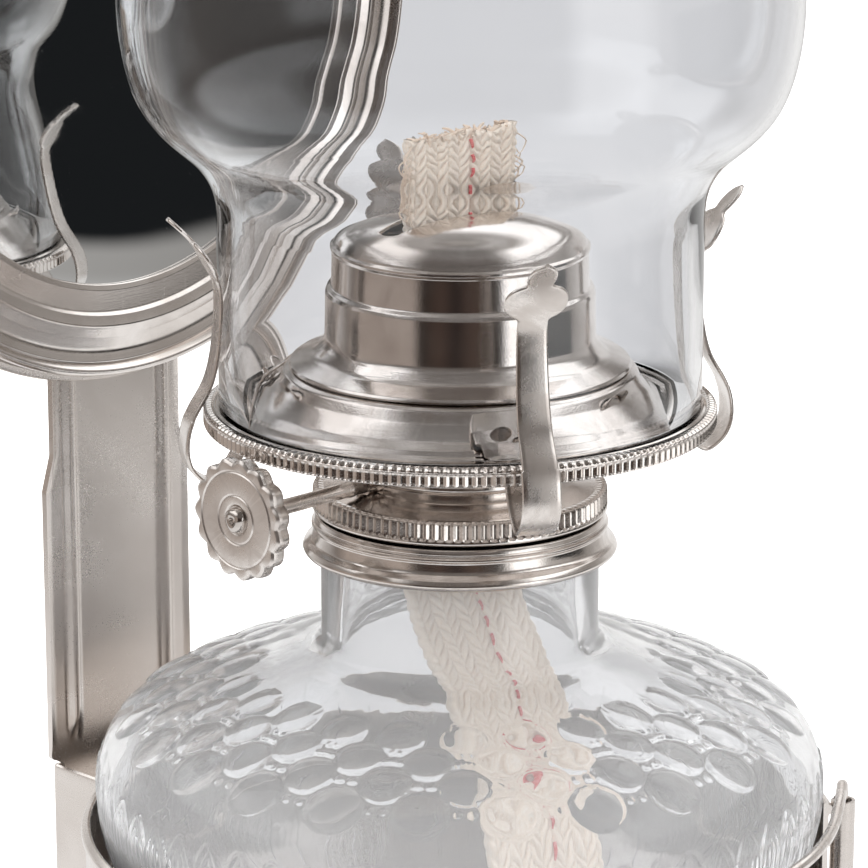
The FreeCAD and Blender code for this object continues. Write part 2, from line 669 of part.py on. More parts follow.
def winder_shaft():
    origin = Vector(KNOB_FACE_X + 0.8, SHAFT_Y, SHAFT_Z)
    return Part.makeCylinder(SHAFT_R, SHAFT_END_X - origin.x, origin, Vector(1, 0, 0))


def spur_wheel(x):
    """A toothed wheel, 1.2 mm thick, that bites the wick through a window in its tube."""
    points = []
    for tooth in range(SPUR_TEETH):
        for share, radius in ((0.0, SPUR_R), (0.28, SPUR_R - 1.0), (0.72, SPUR_R - 1.0)):
            angle = 2 * math.pi * (tooth + share) / SPUR_TEETH
            y = SHAFT_Y + radius * math.cos(angle)
            z = SHAFT_Z + radius * math.sin(angle)
            points.append(Vector(x - 0.6, y, z))
    wheel = Part.Face(Part.makePolygon([*points, points[0]])).extrude(Vector(1.2, 0, 0))
    return wheel.cut(Part.makeCylinder(SHAFT_R, 4, Vector(x - 2, SHAFT_Y, SHAFT_Z), Vector(1, 0, 0)))


def spur_wheels():
    return Part.makeCompound([spur_wheel(x) for x in SPUR_CENTRES])


def knob():
    """A dished, scalloped disc: thin web, ring grooves on the face and a hub behind."""
    thickness = 2.6
    axis = Vector(1, 0, 0)
    disc = Part.makeCylinder(KNOB_R - 0.35, thickness)
    lobes = []
    for index in range(KNOB_SCALLOPS):
        angle = 2 * math.pi * index / KNOB_SCALLOPS
        centre = Vector((KNOB_R - 1.15) * math.cos(angle), (KNOB_R - 1.15) * math.sin(angle), 0)
        lobes.append(Part.makeCylinder(1.15, thickness, centre))
    body = fused([disc, *lobes])
    body = body.cut(Part.makeCylinder(KNOB_R - 2.0, 1.4, Vector(0, 0, 1.2)))
    for radius, wide in ((KNOB_R * 0.8, 0.7), (KNOB_R * 0.42, 0.7)):
        body = body.cut(ring(radius - wide / 2, radius + wide / 2, -0.01, 0.35))
    hub = Part.makeCylinder(2.6, 3.6, Vector(0, 0, 0.6))
    body = fused([body, hub]).cut(Part.makeCylinder(SHAFT_R, 12, Vector(0, 0, -2)))
    body.rotate(ORIGIN, Vector(0, 1, 0), 90)
    body.translate(Vector(KNOB_FACE_X, SHAFT_Y, SHAFT_Z))
    return body


def knob_rivet():
    """The shaft's end, peened over the knob's face."""
    head = Part.makeSphere(2.6, Vector(0, 0, 1.35)).common(block(-5, 5, -5, 5, -3, 0))
    neck = Part.makeCylinder(SHAFT_R - 0.02, 0.78, Vector(0, 0, 0))
    rivet = fused([head, neck])
    rivet.rotate(ORIGIN, Vector(0, 1, 0), 90)
    rivet.translate(Vector(KNOB_FACE_X, SHAFT_Y, SHAFT_Z))
    return rivet


# ---- chimney -----------------------------------------------------------------------------------------
def chimney():
    outer = [
        (CHIMNEY_FIT_R, 132.0), (38.0, 135.2), (39.1, 138.0), (41.4, 141.0), (45.3, 144.4), (48.6, 148.2),
        (50.7, 153.0), (52.0, 159.5), (CHIMNEY_BULGE_R, 166.0), (51.2, 176.0), (47.6, 189.0), (42.2, 205.0),
        (37.0, 222.0), (33.0, 242.0), (30.4, 266.0), (29.2, 292.0), (29.4, CHIMNEY_TOP_Z),
    ]
    wall = CHIMNEY_WALL
    inner = [(radius - wall, height) for radius, height in reversed(outer)]
    return revolved([
        (CHIMNEY_FIT_R - wall, CHIMNEY_BOTTOM_Z), (CHIMNEY_FIT_R, CHIMNEY_BOTTOM_Z),
        *smooth_run(outer), *smooth_run(inner),
    ])


# ---- the assembly ------------------------------------------------------------------------------------
PARTS = {
    "holder_cup": holder_cup,
    "holder_band": holder_band,
    "rolled_lugs": rolled_lugs,
    "band_rivets": band_rivets,
    "bracket_arm": bracket_arm,
    "arm_rivets": arm_rivets,
    "stem_socket": stem_socket,
    "socket_spring": socket_spring,
    "retaining_wire": retaining_wire,
    "stem": stem,
    "mirror_glass": mirror_glass,
    "mirror_backing": mirror_backing,
    "mirror_bezel": mirror_bezel,
    "mirror_back_plate": mirror_back_plate,
    "mirror_rivets": mirror_rivets,
    "font": font,
    "font_collar": font_collar,
    "collar_plaster": collar_plaster,
    "burner_base": burner_base,
    "burner_body": burner_body,
    "tube_plate": tube_plate,
    "wick_tube": wick_tube,
    "shaft_sleeve": shaft_sleeve,
    "gallery": gallery,
    "prong_feet": prong_feet,
    "seat_ring": seat_ring,
    "air_plate": air_plate,
    "dome": dome,
    "wick": wick,
    "winder_shaft": winder_shaft,
    "spur_wheels": spur_wheels,
    "knob": knob,
    "knob_rivet": knob_rivet,
    "chimney": chimney,
}
for number, prong_azimuth in enumerate(PRONG_AZIMUTHS, start=1):
    PARTS[f"prong_{number}"] = lambda azimuth=prong_azimuth: prong(azimuth)


def main():
    os.makedirs("parts", exist_ok=True)
    for name, make in PARTS.items():
        shape = make()
        volume = sum(solid.Volume for solid in shape.Solids)
        print(f"{name}: {len(shape.Solids)} solid(s), {volume:.1f} mm3, valid {shape.isValid()}")
        shape.exportStep(f"parts/{name}.step")


main()
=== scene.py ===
import math
import random

import bpy
import numpy as np
from bpy.props import FloatProperty, FloatVectorProperty, IntProperty, PointerProperty
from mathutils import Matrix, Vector


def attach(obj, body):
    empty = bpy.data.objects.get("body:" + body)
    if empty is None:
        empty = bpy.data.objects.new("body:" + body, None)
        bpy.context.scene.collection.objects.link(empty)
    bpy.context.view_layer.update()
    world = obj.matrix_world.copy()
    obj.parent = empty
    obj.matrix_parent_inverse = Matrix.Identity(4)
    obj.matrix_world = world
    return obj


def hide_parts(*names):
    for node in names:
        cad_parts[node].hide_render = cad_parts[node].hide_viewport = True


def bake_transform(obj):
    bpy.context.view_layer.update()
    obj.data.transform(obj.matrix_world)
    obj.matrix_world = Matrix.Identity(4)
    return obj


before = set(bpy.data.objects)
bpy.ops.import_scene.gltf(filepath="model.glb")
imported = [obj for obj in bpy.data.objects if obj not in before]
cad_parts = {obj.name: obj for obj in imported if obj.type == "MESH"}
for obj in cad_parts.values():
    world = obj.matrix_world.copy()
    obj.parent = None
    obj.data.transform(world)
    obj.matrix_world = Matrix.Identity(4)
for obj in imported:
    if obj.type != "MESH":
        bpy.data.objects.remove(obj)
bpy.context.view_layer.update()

bl_info = {
    "name": "Kerosene Wall Lamp",
    "version": (1, 0, 0),
    "blender": (4, 5, 0),
    "location": "View3D > Sidebar > Lamp",
    "description": "Dresses a flat-wick wall lamp: pressed glass font, nickel burner, chimney, mirror and holder",
    "category": "Object",
}

# Lengths in the shapes below are millimetres: Z up along the lamp's axis, +Y towards the wall.
MM = 0.001
CAMERA_AZIMUTH = -45.7
MIRROR_Z = 156.7
PRONG_AZIMUTHS = (-120.2, -30.2, 59.8, 149.8)
LUG_AZIMUTHS = (-34.0, 86.0, -154.0)
EYELET_AZIMUTHS = (9.0, -111.0, 129.0)
WINDER_Y, WINDER_Z = 5.0, 90.4
KNOB_FACE_X = -43.3
WICK_LENGTH = 127.4
WICK_HALF_FLAT = 10.7
WICK_HALF_THICK = 1.0


# ---- sizes and colours that a user may change --------------------------------------------------------
class LampSizes(bpy.types.PropertyGroup):
    """Counts and small sizes of the lamp's visible details."""

    bubble_count: IntProperty(
        name="Bubbles in a row", description="Round bubbles in each row of the font's shoulder", default=24, min=8)
    leaf_count: IntProperty(
        name="Leaves", description="Upright pointed leaves round the font", default=60, min=12)
    bubble_height: FloatProperty(
        name="Bubble height", description="How far a bubble stands out of the glass",
        default=0.00055, min=0.0, unit="LENGTH", subtype="DISTANCE")
    flange_knurls: IntProperty(
        name="Flange knurls", description="Upright grooves round the screw flange", default=104, min=12)
    rim_knurls: IntProperty(
        name="Rim knurls", description="Grooves round the gallery's rim", default=184, min=12)
    knob_scallops: IntProperty(
        name="Knob scallops", description="Lobes round the wick knob", default=15, min=5)
    strand_pitch: FloatProperty(
        name="Strand pitch", description="Distance between the wick's strands along its length",
        default=0.0019, min=0.0005, unit="LENGTH", subtype="DISTANCE")
    fringe_threads: IntProperty(
        name="Fringe threads", description="Loose yarn ends along the wick's cut edge", default=74, min=0)


class LampColours(bpy.types.PropertyGroup):
    """The lamp's finishes."""

    nickel: FloatVectorProperty(
        name="Nickel", description="Bright nickel plate", default=(0.80, 0.755, 0.72), subtype="COLOR", min=0, max=1)
    nickel_haze: FloatVectorProperty(
        name="Nickel haze", description="Duller patches in the plate",
        default=(0.64, 0.585, 0.545), subtype="COLOR", min=0, max=1)
    brass: FloatVectorProperty(
        name="Brass", description="Unplated brass of the wick tube", default=(0.62, 0.47, 0.24), subtype="COLOR",
        min=0, max=1)
    glass: FloatVectorProperty(
        name="Glass", description="Tint of the clear glass", default=(0.985, 0.99, 1.0), subtype="COLOR",
        min=0, max=1)
    cotton: FloatVectorProperty(
        name="Cotton", description="Unbleached cotton of the wick", default=(0.90, 0.785, 0.68), subtype="COLOR",
        min=0, max=1)
    cotton_shadow: FloatVectorProperty(
        name="Cotton shadow", description="Between the wick's strands", default=(0.66, 0.50, 0.38), subtype="COLOR",
        min=0, max=1)
    marker: FloatVectorProperty(
        name="Marker thread", description="Red thread along the wick", default=(0.62, 0.04, 0.05), subtype="COLOR",
        min=0, max=1)


# ---- curves and nets ---------------------------------------------------------------------------------
def flowing(points, count):
    """`count` points along a natural cubic curve through the given points."""
    points = np.array(points, float)
    step = np.linalg.norm(np.diff(points, axis=0), axis=1)
    knots = np.concatenate([[0], np.cumsum(step)])
    size = len(points)
    matrix = np.eye(size)
    right = np.zeros_like(points)
    for i in range(1, size - 1):
        matrix[i, i - 1:i + 2] = step[i - 1], 2 * (step[i - 1] + step[i]), step[i]
        right[i] = 6 * ((points[i + 1] - points[i]) / step[i] - (points[i] - points[i - 1]) / step[i - 1])
    bend = np.linalg.solve(matrix, right)
    where = np.linspace(0, knots[-1], count)
    part = np.clip(np.searchsorted(knots, where) - 1, 0, size - 2)
    span = step[part]
    a = ((knots[part + 1] - where) / span)[:, None]
    b = 1 - a
    curve = a * points[part] + b * points[part + 1]
    return curve + ((a ** 3 - a) * bend[part] + (b ** 3 - b) * bend[part + 1]) * (span ** 2)[:, None] / 6


def rounded(points, radius, steps=5, closed=False):
    """Straight runs through points, each corner turned on an arc; a third number is that corner's radius."""
    corners = [(np.array(p[:2], float), p[2] if len(p) > 2 else radius) for p in points]
    path = []
    for i, (corner, bend) in enumerate(corners):
        ends = not closed and i in (0, len(corners) - 1)
        before = corners[i - 1][0]
        after = corners[(i + 1) % len(corners)][0]
        into, out = corner - before, after - corner
        near, far = np.linalg.norm(into), np.linalg.norm(out)
        if ends or bend <= 0 or near < 1e-9 or far < 1e-9:
            path.append(corner)
            continue
        into, out = into / near, out / far
        half = math.acos(np.clip(into @ out, -1, 1)) / 2
        if half < 0.02:
            path.append(corner)
            continue
        reach = min(bend * math.tan(half), 0.48 * near, 0.48 * far)
        arc = reach / math.tan(half)
        centre = corner + (out - into) / np.linalg.norm(out - into) * (arc / math.cos(half))
        start = corner - into * reach - centre
        spin = math.copysign(2 * half, into[0] * out[1] - into[1] * out[0])
        for share in np.linspace(0, 1, steps):
            c, s = math.cos(spin * share), math.sin(spin * share)
            path.append(centre + np.array([c * start[0] - s * start[1], s * start[0] + c * start[1]]))
    return np.array(path)


def thickened(path, thickness):
    """The closed outline of sheet metal that lies along a path, with rounded edges."""
    path = np.array(path, float)
    run = np.gradient(path, axis=0)
    run /= np.linalg.norm(run, axis=1)[:, None]
    side = np.stack([-run[:, 1], run[:, 0]], axis=1) * thickness / 2
    last = [path[-1] + side[-1] * c + run[-1] * s * thickness / 2 for c, s in ((0.7, 0.7), (0, 1), (-0.7, 0.7))]
    first = [path[0] - side[0] * c - run[0] * s * thickness / 2 for c, s in ((0.7, 0.7), (0, 1), (-0.7, 0.7))]
    return np.concatenate([path + side, last, (path - side)[::-1], first])


def net(points, wrap_rows=False, wrap_columns=True, flip=False, offset=0):
    """(vertices, faces) of a net of points, shaped (rows, columns, 3)."""
    rows, columns, _ = points.shape
    r = np.arange(rows if wrap_rows else rows - 1)[:, None]
    c = np.arange(columns if wrap_columns else columns - 1)[None, :]
    below, above = r * columns, (r + 1) % rows * columns
    here, beside = c, (c + 1) % columns
    quads = np.stack([below + here, below + beside, above + beside, above + here], axis=-1).reshape(-1, 4)
    if flip:
        quads = quads[:, ::-1]
    return points.reshape(-1, 3), (quads + offset).tolist()


def capped(rows):
    """A net of rows of points round a piece, with both ends closed."""
    points, faces = net(rows)
    count = rows.shape[1]
    faces.append(list(range(count))[::-1])
    faces.append([len(points) - count + i for i in range(count)])
    return points, faces


def spun(radius, height, angle):
    return np.stack([radius * np.sin(angle), -radius * np.cos(angle), height + 0 * angle], axis=-1)


def turned(outline, turns=256, shape=None, wrap=True):
    """A net of the (radius, height) outline spun round Z; `shape` may move its points round the turn."""
    outline = np.array(outline, float)
    after = np.roll(outline, -1, axis=0)
    clockwise = wrap and np.sum(outline[:, 0] * after[:, 1] - after[:, 0] * outline[:, 1]) < 0
    angle = np.linspace(0, 2 * np.pi, turns, endpoint=False)[None, :]
    radius = outline[:, :1] + 0 * angle
    height = outline[:, 1:2] + 0 * angle
    if shape:
        radius, height = shape(radius, height, angle)
    return net(spun(radius, height, angle), wrap_rows=wrap, flip=clockwise)


def placed(shell, azimuth=0.0, lift=0.0):
    """A shell made at the front, turned to an azimuth from -Y towards +X."""
    points, faces = shell
    angle = math.radians(azimuth)
    c, s = math.cos(angle), math.sin(angle)
    spin = np.array([[c, -s, 0], [s, c, 0], [0, 0, 1]])
    return points @ spin.T + np.array([0, 0, lift]), faces


def facing_mirror(shell):
    """A shell made about Z, laid on the mirror's axis."""
    points, faces = shell
    return np.stack([points[:, 0], -points[:, 2], points[:, 1] + MIRROR_Z], axis=1), faces


def piece(name, shells, finish, body, replaces=(), sharp=32):
    """One object from shells in millimetres, riding on a body and taking its finish from a slot."""
    points, faces = [], []
    for shell_points, shell_faces in shells:
        offset = sum(len(p) for p in points)
        points.append(np.asarray(shell_points))
        faces += [[i + offset for i in face] for face in shell_faces]
    mesh = bpy.data.meshes.new(name)
    mesh.from_pydata((np.concatenate(points) * MM).tolist(), [], faces)
    mesh.validate()
    mesh.shade_smooth()
    mesh.set_sharp_from_angle(angle=math.radians(sharp))
    mesh.materials.append(finish)
    made = bpy.data.objects.new(name, mesh)
    bpy.context.scene.collection.objects.link(made)
    if body:
        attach(made, body)
    if replaces:
        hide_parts(*replaces)
    return made


def strip(path, half_widths, thickness, crown=0.0, across=9):
    """A shell of bent strip: its width along X, its path in the (radius, height) plane at the front."""
    path = np.array(path, float)
    run = np.gradient(path, axis=0)
    run /= np.linalg.norm(run, axis=1)[:, None]
    side = np.stack([run[:, 1], -run[:, 0]], axis=1)
    flat = np.linspace(-1, 1, across)
    edge = thickness / 2
    section = [(x, 1.0, 0.0) for x in flat] + [(1, 0.7, 0.7), (1, 0.0, 1.0), (1, -0.7, 0.7)]
    section += [(x, -1.0, 0.0) for x in flat[::-1]] + [(-1, -0.7, 0.7), (-1, 0.0, 1.0), (-1, 0.7, 0.7)]
    rows = []
    for place, outward, half in zip(path, side, half_widths):
        inner = max(half - edge, 0.02)
        row = []
        for x, level, bulge in section:
            across_x = x * inner + math.copysign(bulge * edge, x) * (1 if bulge else 0)
            lift = level * edge + crown * (1 - x * x)
            radius, height = place + outward * lift
            row.append((across_x, -radius, height))
        rows.append(row)
    return capped(np.array(rows))


# ---- shader nodes ------------------------------------------------------------------------------------
class Recipe:
    """Adds nodes to a tree: an input that is a socket is linked, anything else is its value."""

    def __init__(self, tree):
        self.tree = tree

    def add(self, kind, inputs=(), **settings):
        node = self.tree.nodes.new(kind)
        for name, value in settings.items():
            setattr(node, name, value)
        for key, value in dict(inputs).items():
            if isinstance(value, bpy.types.NodeSocket):
                self.tree.links.new(value, node.inputs[key])
            else:
                node.inputs[key].default_value = value
        return node

    def feed(self, shader, values):
        """Links sockets to a shader's inputs; anything else is set on the input itself."""
        for name, value in values.items():
            if isinstance(value, bpy.types.NodeSocket):
                self.tree.links.new(value, shader.inputs[name])
            else:
                shader.inputs[name].default_value = value

    def bumped(self, height, strength, distance):
        return self.add("ShaderNodeBump", {"Height": height, "Strength": strength, "Distance": distance}).outputs[0]

    def math(self, operation, a, b=0.0, clamp=False):
        return self.add("ShaderNodeMath", {0: a, 1: b}, operation=operation, use_clamp=clamp).outputs[0]

    def noise(self, vector, scale, detail=3.0, rough=0.5, distortion=0.0):
        values = {"Vector": vector, "Scale": scale, "Detail": detail, "Roughness": rough, "Distortion": distortion}
        return self.add("ShaderNodeTexNoise", values).outputs["Fac"]

    def ranged(self, value, low, high, to_low=0.0, to_high=1.0, smooth=True):
        kind = "SMOOTHSTEP" if smooth else "LINEAR"
        values = {"Value": value, "From Min": low, "From Max": high, "To Min": to_low, "To Max": to_high}
        return self.add("ShaderNodeMapRange", values, interpolation_type=kind).outputs[0]

    def mixed(self, share, a, b, blend="MIX"):
        node = self.add("ShaderNodeMix", {"Factor": share}, data_type="RGBA", blend_type=blend)
        for socket, value in ((node.inputs[6], a), (node.inputs[7], b)):
            if isinstance(value, bpy.types.NodeSocket):
                self.tree.links.new(value, socket)
            else:
                socket.default_value = value
        return node.outputs[2]

    def stops(self, value, stops, smooth=False):
        node = self.add("ShaderNodeValToRGB", {"Fac": value})
        ramp = node.color_ramp
        ramp.interpolation = "EASE" if smooth else "LINEAR"
        for index, (place, colour) in enumerate(stops):
            element = ramp.elements[index] if index < 2 else ramp.elements.new(place)
            element.position = place
            element.color = colour
        return node.outputs["Color"]


def group(name, inputs, outputs):
    """A new shader node group with its sockets: returns (recipe, group input's sockets, output node)."""
    tree = bpy.data.node_groups.new(name, "ShaderNodeTree")
    for label, kind, value in inputs:
        socket = tree.interface.new_socket(label, in_out="INPUT", socket_type=kind)
        socket.default_value = value
    for label, kind in outputs:
        tree.interface.new_socket(label, in_out="OUTPUT", socket_type=kind)
    recipe = Recipe(tree)
    return recipe, recipe.add("NodeGroupInput").outputs, recipe.add("NodeGroupOutput")


def object_place(recipe):
    return recipe.add("ShaderNodeTexCoord").outputs["Object"]


def plate_group():
    """Cloudy haze, fine grain and short scratches of plated metal."""
    if "lamp_plate" in bpy.data.node_groups:
        return bpy.data.node_groups["lamp_plate"]
    recipe, given, out = group(
        "lamp_plate",
        [("Cloud Scale", "NodeSocketFloat", 90.0), ("Grain Scale", "NodeSocketFloat", 3200.0),
         ("Scratch", "NodeSocketFloat", 0.5)],
        [("Cloud", "NodeSocketFloat"), ("Grain", "NodeSocketFloat"), ("Scratches", "NodeSocketFloat"),
         ("Height", "NodeSocketFloat")],
    )
    place = object_place(recipe)
    cloud = recipe.ranged(recipe.noise(place, given["Cloud Scale"], 4.0, 0.62, 0.6), 0.36, 0.68)
    grain = recipe.noise(place, given["Grain Scale"], 2.0, 0.6)
    lines = None
    for turn, stretch in ((0.5, (40, 1500, 40)), (-0.9, (1300, 50, 60)), (0.2, (60, 50, 1400))):
        moved = recipe.add(
            "ShaderNodeMapping", {"Vector": place, "Rotation": (turn, turn * 0.7, turn), "Scale": stretch}).outputs[0]
        fine = recipe.ranged(recipe.noise(moved, 1.0, 1.0, 0.4), 0.70, 0.80)
        lines = fine if lines is None else recipe.math("MAXIMUM", lines, fine)
    lines = recipe.math("MULTIPLY", lines, given["Scratch"])
    height = recipe.math("ADD", recipe.math("MULTIPLY", grain, 0.7), recipe.math("MULTIPLY", lines, -0.25))
    for label, value in (("Cloud", cloud), ("Grain", grain), ("Scratches", lines), ("Height", height)):
        recipe.tree.links.new(value, out.inputs[label])
    return recipe.tree


def turning_group():
    """Fine rings left by spinning or drawing the metal, round an axis through the object's own Z."""
    if "lamp_turning" in bpy.data.node_groups:
        return bpy.data.node_groups["lamp_turning"]
    recipe, given, out = group(
        "lamp_turning", [("Lines", "NodeSocketFloat", 2600.0), ("Centre", "NodeSocketVector", (0, 0, 0))],
        [("Height", "NodeSocketFloat")],
    )
    place = recipe.add("ShaderNodeVectorMath", {0: object_place(recipe), 1: given["Centre"]}, operation="SUBTRACT")
    axes = recipe.add("ShaderNodeSeparateXYZ", {0: place.outputs[0]}).outputs
    radius = recipe.math("POWER", recipe.math(
        "ADD", recipe.math("MULTIPLY", axes[0], axes[0]), recipe.math("MULTIPLY", axes[1], axes[1])), 0.5)
    along = recipe.add("ShaderNodeCombineXYZ", {0: radius, 1: recipe.math("MULTIPLY", axes[2], 1.0)}).outputs[0]
    rings = recipe.noise(along, given["Lines"], 2.0, 0.7)
    recipe.tree.links.new(rings, out.inputs["Height"])
    return recipe.tree


def edge_wear_and_shade_group():
    """Raised edges: 1 where the surface turns sharply outwards, 0 in the flats; hollow shade: 1 where it turns
    inwards, used as painted shade.
    """
    if "lamp_edge_wear_and_hollow_shade" in bpy.data.node_groups:
        return bpy.data.node_groups["lamp_edge_wear_and_hollow_shade"]
    recipe, given, out = group(
        "lamp_edge_wear_and_hollow_shade", [("Start", "NodeSocketFloat", 0.51), ("End", "NodeSocketFloat", 0.60)],
        [("Edges", "NodeSocketFloat"), ("Hollow Shade", "NodeSocketFloat")],
    )
    bend = recipe.add("ShaderNodeNewGeometry").outputs["Pointiness"]
    broken = recipe.math("MULTIPLY", recipe.math("SUBTRACT", recipe.noise(object_place(recipe), 900.0), 0.5), 0.05)
    edges = recipe.ranged(recipe.math("ADD", bend, broken), given["Start"], given["End"])
    # painted shade mask: 1 in the recesses, where the colour is darkened to stand in for shade
    hollow_shade = recipe.ranged(recipe.math("ADD", bend, broken), 0.49, 0.42)
    recipe.tree.links.new(edges, out.inputs["Edges"])
    recipe.tree.links.new(hollow_shade, out.inputs["Hollow Shade"])
    return recipe.tree


def walls_group():
    """The studio's walls by direction, as polished metal sees them, turned to face the camera."""
    if "studio_walls" in bpy.data.node_groups:
        return bpy.data.node_groups["studio_walls"]
    recipe, given, out = group(
        "studio_walls", [("Direction", "NodeSocketVector", (0, 0, 1))],
        [("Color", "NodeSocketColor"), ("Aside", "NodeSocketFloat"), ("Across", "NodeSocketFloat"),
         ("Front", "NodeSocketFloat")],
    )
    axes = recipe.add("ShaderNodeSeparateXYZ", {0: given["Direction"]}).outputs
    turn = math.radians(CAMERA_AZIMUTH)
    back = recipe.math("ADD", recipe.math("MULTIPLY", axes[0], math.sin(turn)),
                       recipe.math("MULTIPLY", axes[1], -math.cos(turn)))
    right = recipe.math("ADD", recipe.math("MULTIPLY", axes[0], math.cos(turn)),
                        recipe.math("MULTIPLY", axes[1], math.sin(turn)))
    bearing = recipe.math("ADD", recipe.math("DIVIDE", recipe.math("ARCTAN2", right, back), 2 * math.pi), 0.5)
    walls = recipe.stops(bearing, [
        (0.00, (0.95, 0.94, 0.93, 1)), (0.12, (0.85, 0.84, 0.83, 1)), (0.20, (0.20, 0.175, 0.16, 1)),
        (0.235, (0.43, 0.37, 0.33, 1)), (0.385, (0.46, 0.40, 0.36, 1)), (0.41, (0.020, 0.016, 0.014, 1)),
        (0.45, (0.075, 0.050, 0.040, 1)), (0.49, (0.030, 0.022, 0.020, 1)), (0.53, (0.09, 0.062, 0.050, 1)),
        (0.575, (0.045, 0.038, 0.033, 1)), (0.592, (0.015, 0.014, 0.013, 1)), (0.612, (1.9, 1.9, 1.9, 1)),
        (0.665, (1.7, 1.7, 1.7, 1)), (0.69, (0.55, 0.53, 0.51, 1)), (0.80, (0.30, 0.285, 0.27, 1)),
        (0.90, (0.90, 0.89, 0.88, 1)), (1.00, (0.95, 0.94, 0.93, 1)),
    ])
    aside = recipe.math("MULTIPLY", recipe.ranged(bearing, 0.695, 0.71), recipe.ranged(bearing, 0.80, 0.785))
    front = recipe.ranged(recipe.math("ABSOLUTE", recipe.math("SUBTRACT", bearing, 0.5)), 0.19, 0.10)
    across = recipe.math("ABSOLUTE", right)
    for label, value in (("Color", walls), ("Aside", aside), ("Across", across), ("Front", front)):
        recipe.tree.links.new(value, out.inputs[label])
    return recipe.tree


def new_material(name):
    """An empty material: returns (material, recipe, principled shader)."""
    material = bpy.data.materials.new(name)
    material.use_nodes = True
    shader = material.node_tree.nodes["Principled BSDF"]
    return material, Recipe(material.node_tree), shader


def rgba(colour, share=1.0):
    return (colour[0] * share, colour[1] * share, colour[2] * share, 1.0)


def plated(name, bright, dull, rough, grain=0.00001, cloud_scale=90.0, turning=0.0, centre=(0, 0, 0), scratch=0.5):
    """Plated metal: haze in patches, fine grain, scratches, brighter edges and painted shade darkening the recesses.
    """
    if name in bpy.data.materials:
        return bpy.data.materials[name]
    material, recipe, shader = new_material(name)
    plate = recipe.add("ShaderNodeGroup", node_tree=plate_group())
    plate.inputs["Cloud Scale"].default_value = cloud_scale
    plate.inputs["Scratch"].default_value = scratch
    edges = recipe.add("ShaderNodeGroup", node_tree=edge_wear_and_shade_group()).outputs
    colour = recipe.mixed(plate.outputs["Cloud"], rgba(bright), rgba(dull))
    # painted shade: darkens the plate in the recesses to a third of its dull tone
    colour = recipe.mixed(recipe.math("MULTIPLY", edges["Hollow Shade"], 0.45), colour, rgba(dull, 0.32))
    colour = recipe.mixed(recipe.math("MULTIPLY", edges["Edges"], 0.35), colour, rgba(bright, 1.12))
    low, high = rough
    roughness = recipe.ranged(plate.outputs["Cloud"], 0.0, 1.0, low, high, smooth=False)
    roughness = recipe.math("ADD", roughness, recipe.math("MULTIPLY", plate.outputs["Grain"], 0.06))
    roughness = recipe.math("ADD", roughness, recipe.math("MULTIPLY", plate.outputs["Scratches"], 0.1), clamp=True)
    height = plate.outputs["Height"]
    if turning:
        rings = recipe.add("ShaderNodeGroup", node_tree=turning_group())
        rings.inputs["Centre"].default_value = centre
        height = recipe.math("ADD", height, recipe.math("MULTIPLY", rings.outputs["Height"], turning))
    recipe.feed(shader, {"Metallic": 1.0, "Base Color": colour, "Roughness": roughness,
                         "Normal": recipe.bumped(height, 0.5, grain)})
    return material


def nickel(kind):
    """The lamp's nickel finishes by name."""
    colours = bpy.context.scene.lamp_colours
    bright, dull = tuple(colours.nickel), tuple(colours.nickel_haze)
    settings = {
        "crisp": dict(rough=(0.05, 0.13), grain=0.00003, turning=0.5),
        "burner": dict(rough=(0.09, 0.19), grain=0.00003, turning=0.4),
        "strip": dict(rough=(0.17, 0.30), grain=0.000022, cloud_scale=160.0),
        "satin": dict(rough=(0.20, 0.27), grain=0.000025, cloud_scale=14.0),
        "frame": dict(rough=(0.12, 0.24), grain=0.000016, turning=0.7, centre=(0, 0, MIRROR_Z * MM),
                      cloud_scale=45.0),
        "knob": dict(rough=(0.22, 0.36), grain=0.000022, cloud_scale=220.0),
        "wire": dict(rough=(0.16, 0.28), grain=0.00001, cloud_scale=300.0),
    }[kind]
    return plated(f"nickel_{kind}", bright, dull, **settings)


def brass():
    colours = bpy.context.scene.lamp_colours
    tone = tuple(colours.brass)
    dull = tuple(0.6 * c for c in tone)
    return plated("old_brass", tone, dull, rough=(0.28, 0.5), grain=0.00002, cloud_scale=200.0)


def clear_glass(name, wave_scale, wave_depth, seed_scale, strength, bend, clarity=1.0):
    """Clear glass with faint waves, fine seeds and a little haze."""
    if name in bpy.data.materials:
        return bpy.data.materials[name]
    material, recipe, shader = new_material(name)
    place = object_place(recipe)
    waves = recipe.noise(place, wave_scale, 2.0, 0.5)
    seeds = recipe.add("ShaderNodeTexVoronoi", {"Vector": place, "Scale": seed_scale}).outputs["Distance"]
    seeds = recipe.ranged(seeds, 0.02, 0.07, 1.0, 0.0)
    height = recipe.math("ADD", waves, recipe.math("MULTIPLY", seeds, 0.08))
    haze = recipe.ranged(recipe.noise(place, 60.0, 4.0, 0.6), 0.5, 0.8, 0.0, 0.03)
    tint = tuple(bpy.context.scene.lamp_colours.glass)
    colour = recipe.mixed(recipe.noise(place, 25.0), rgba(tint, strength), rgba(tint, strength * 0.985))
    recipe.feed(shader, {"Base Color": colour, "Roughness": haze, "Normal": recipe.bumped(height, 1.0, wave_depth),
                         "Transmission Weight": clarity, "IOR": bend})
    return material


def dress(node, finish):
    """Gives a CAD node's own object a finish."""
    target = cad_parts[node]
    if not target.material_slots:
        target.data.materials.append(finish)
    for held in target.material_slots:
        held.material = finish


# ---- the pieces --------------------------------------------------------------------------------------
FONT_OUTER = [(40.6, 3.2), (43.6, 8.0), (50.0, 17.5), (54.6, 26.5), (57.0, 34.5), (57.6, 41.0), (55.6, 48.0),
              (50.4, 52.4), (41.5, 56.3), (32.5, 59.6), (26.0, 61.8), (23.0, 62.9), (21.9, 64.4)]
FONT_INNER = [(18.6, 63.4), (20.4, 60.2), (24.6, 58.6), (31.4, 56.3), (40.2, 53.1), (48.2, 49.6), (52.6, 45.6),
              (54.4, 41.0), (53.7, 34.5), (51.3, 27.0), (46.9, 18.5), (41.0, 10.5), (36.0, 7.2)]


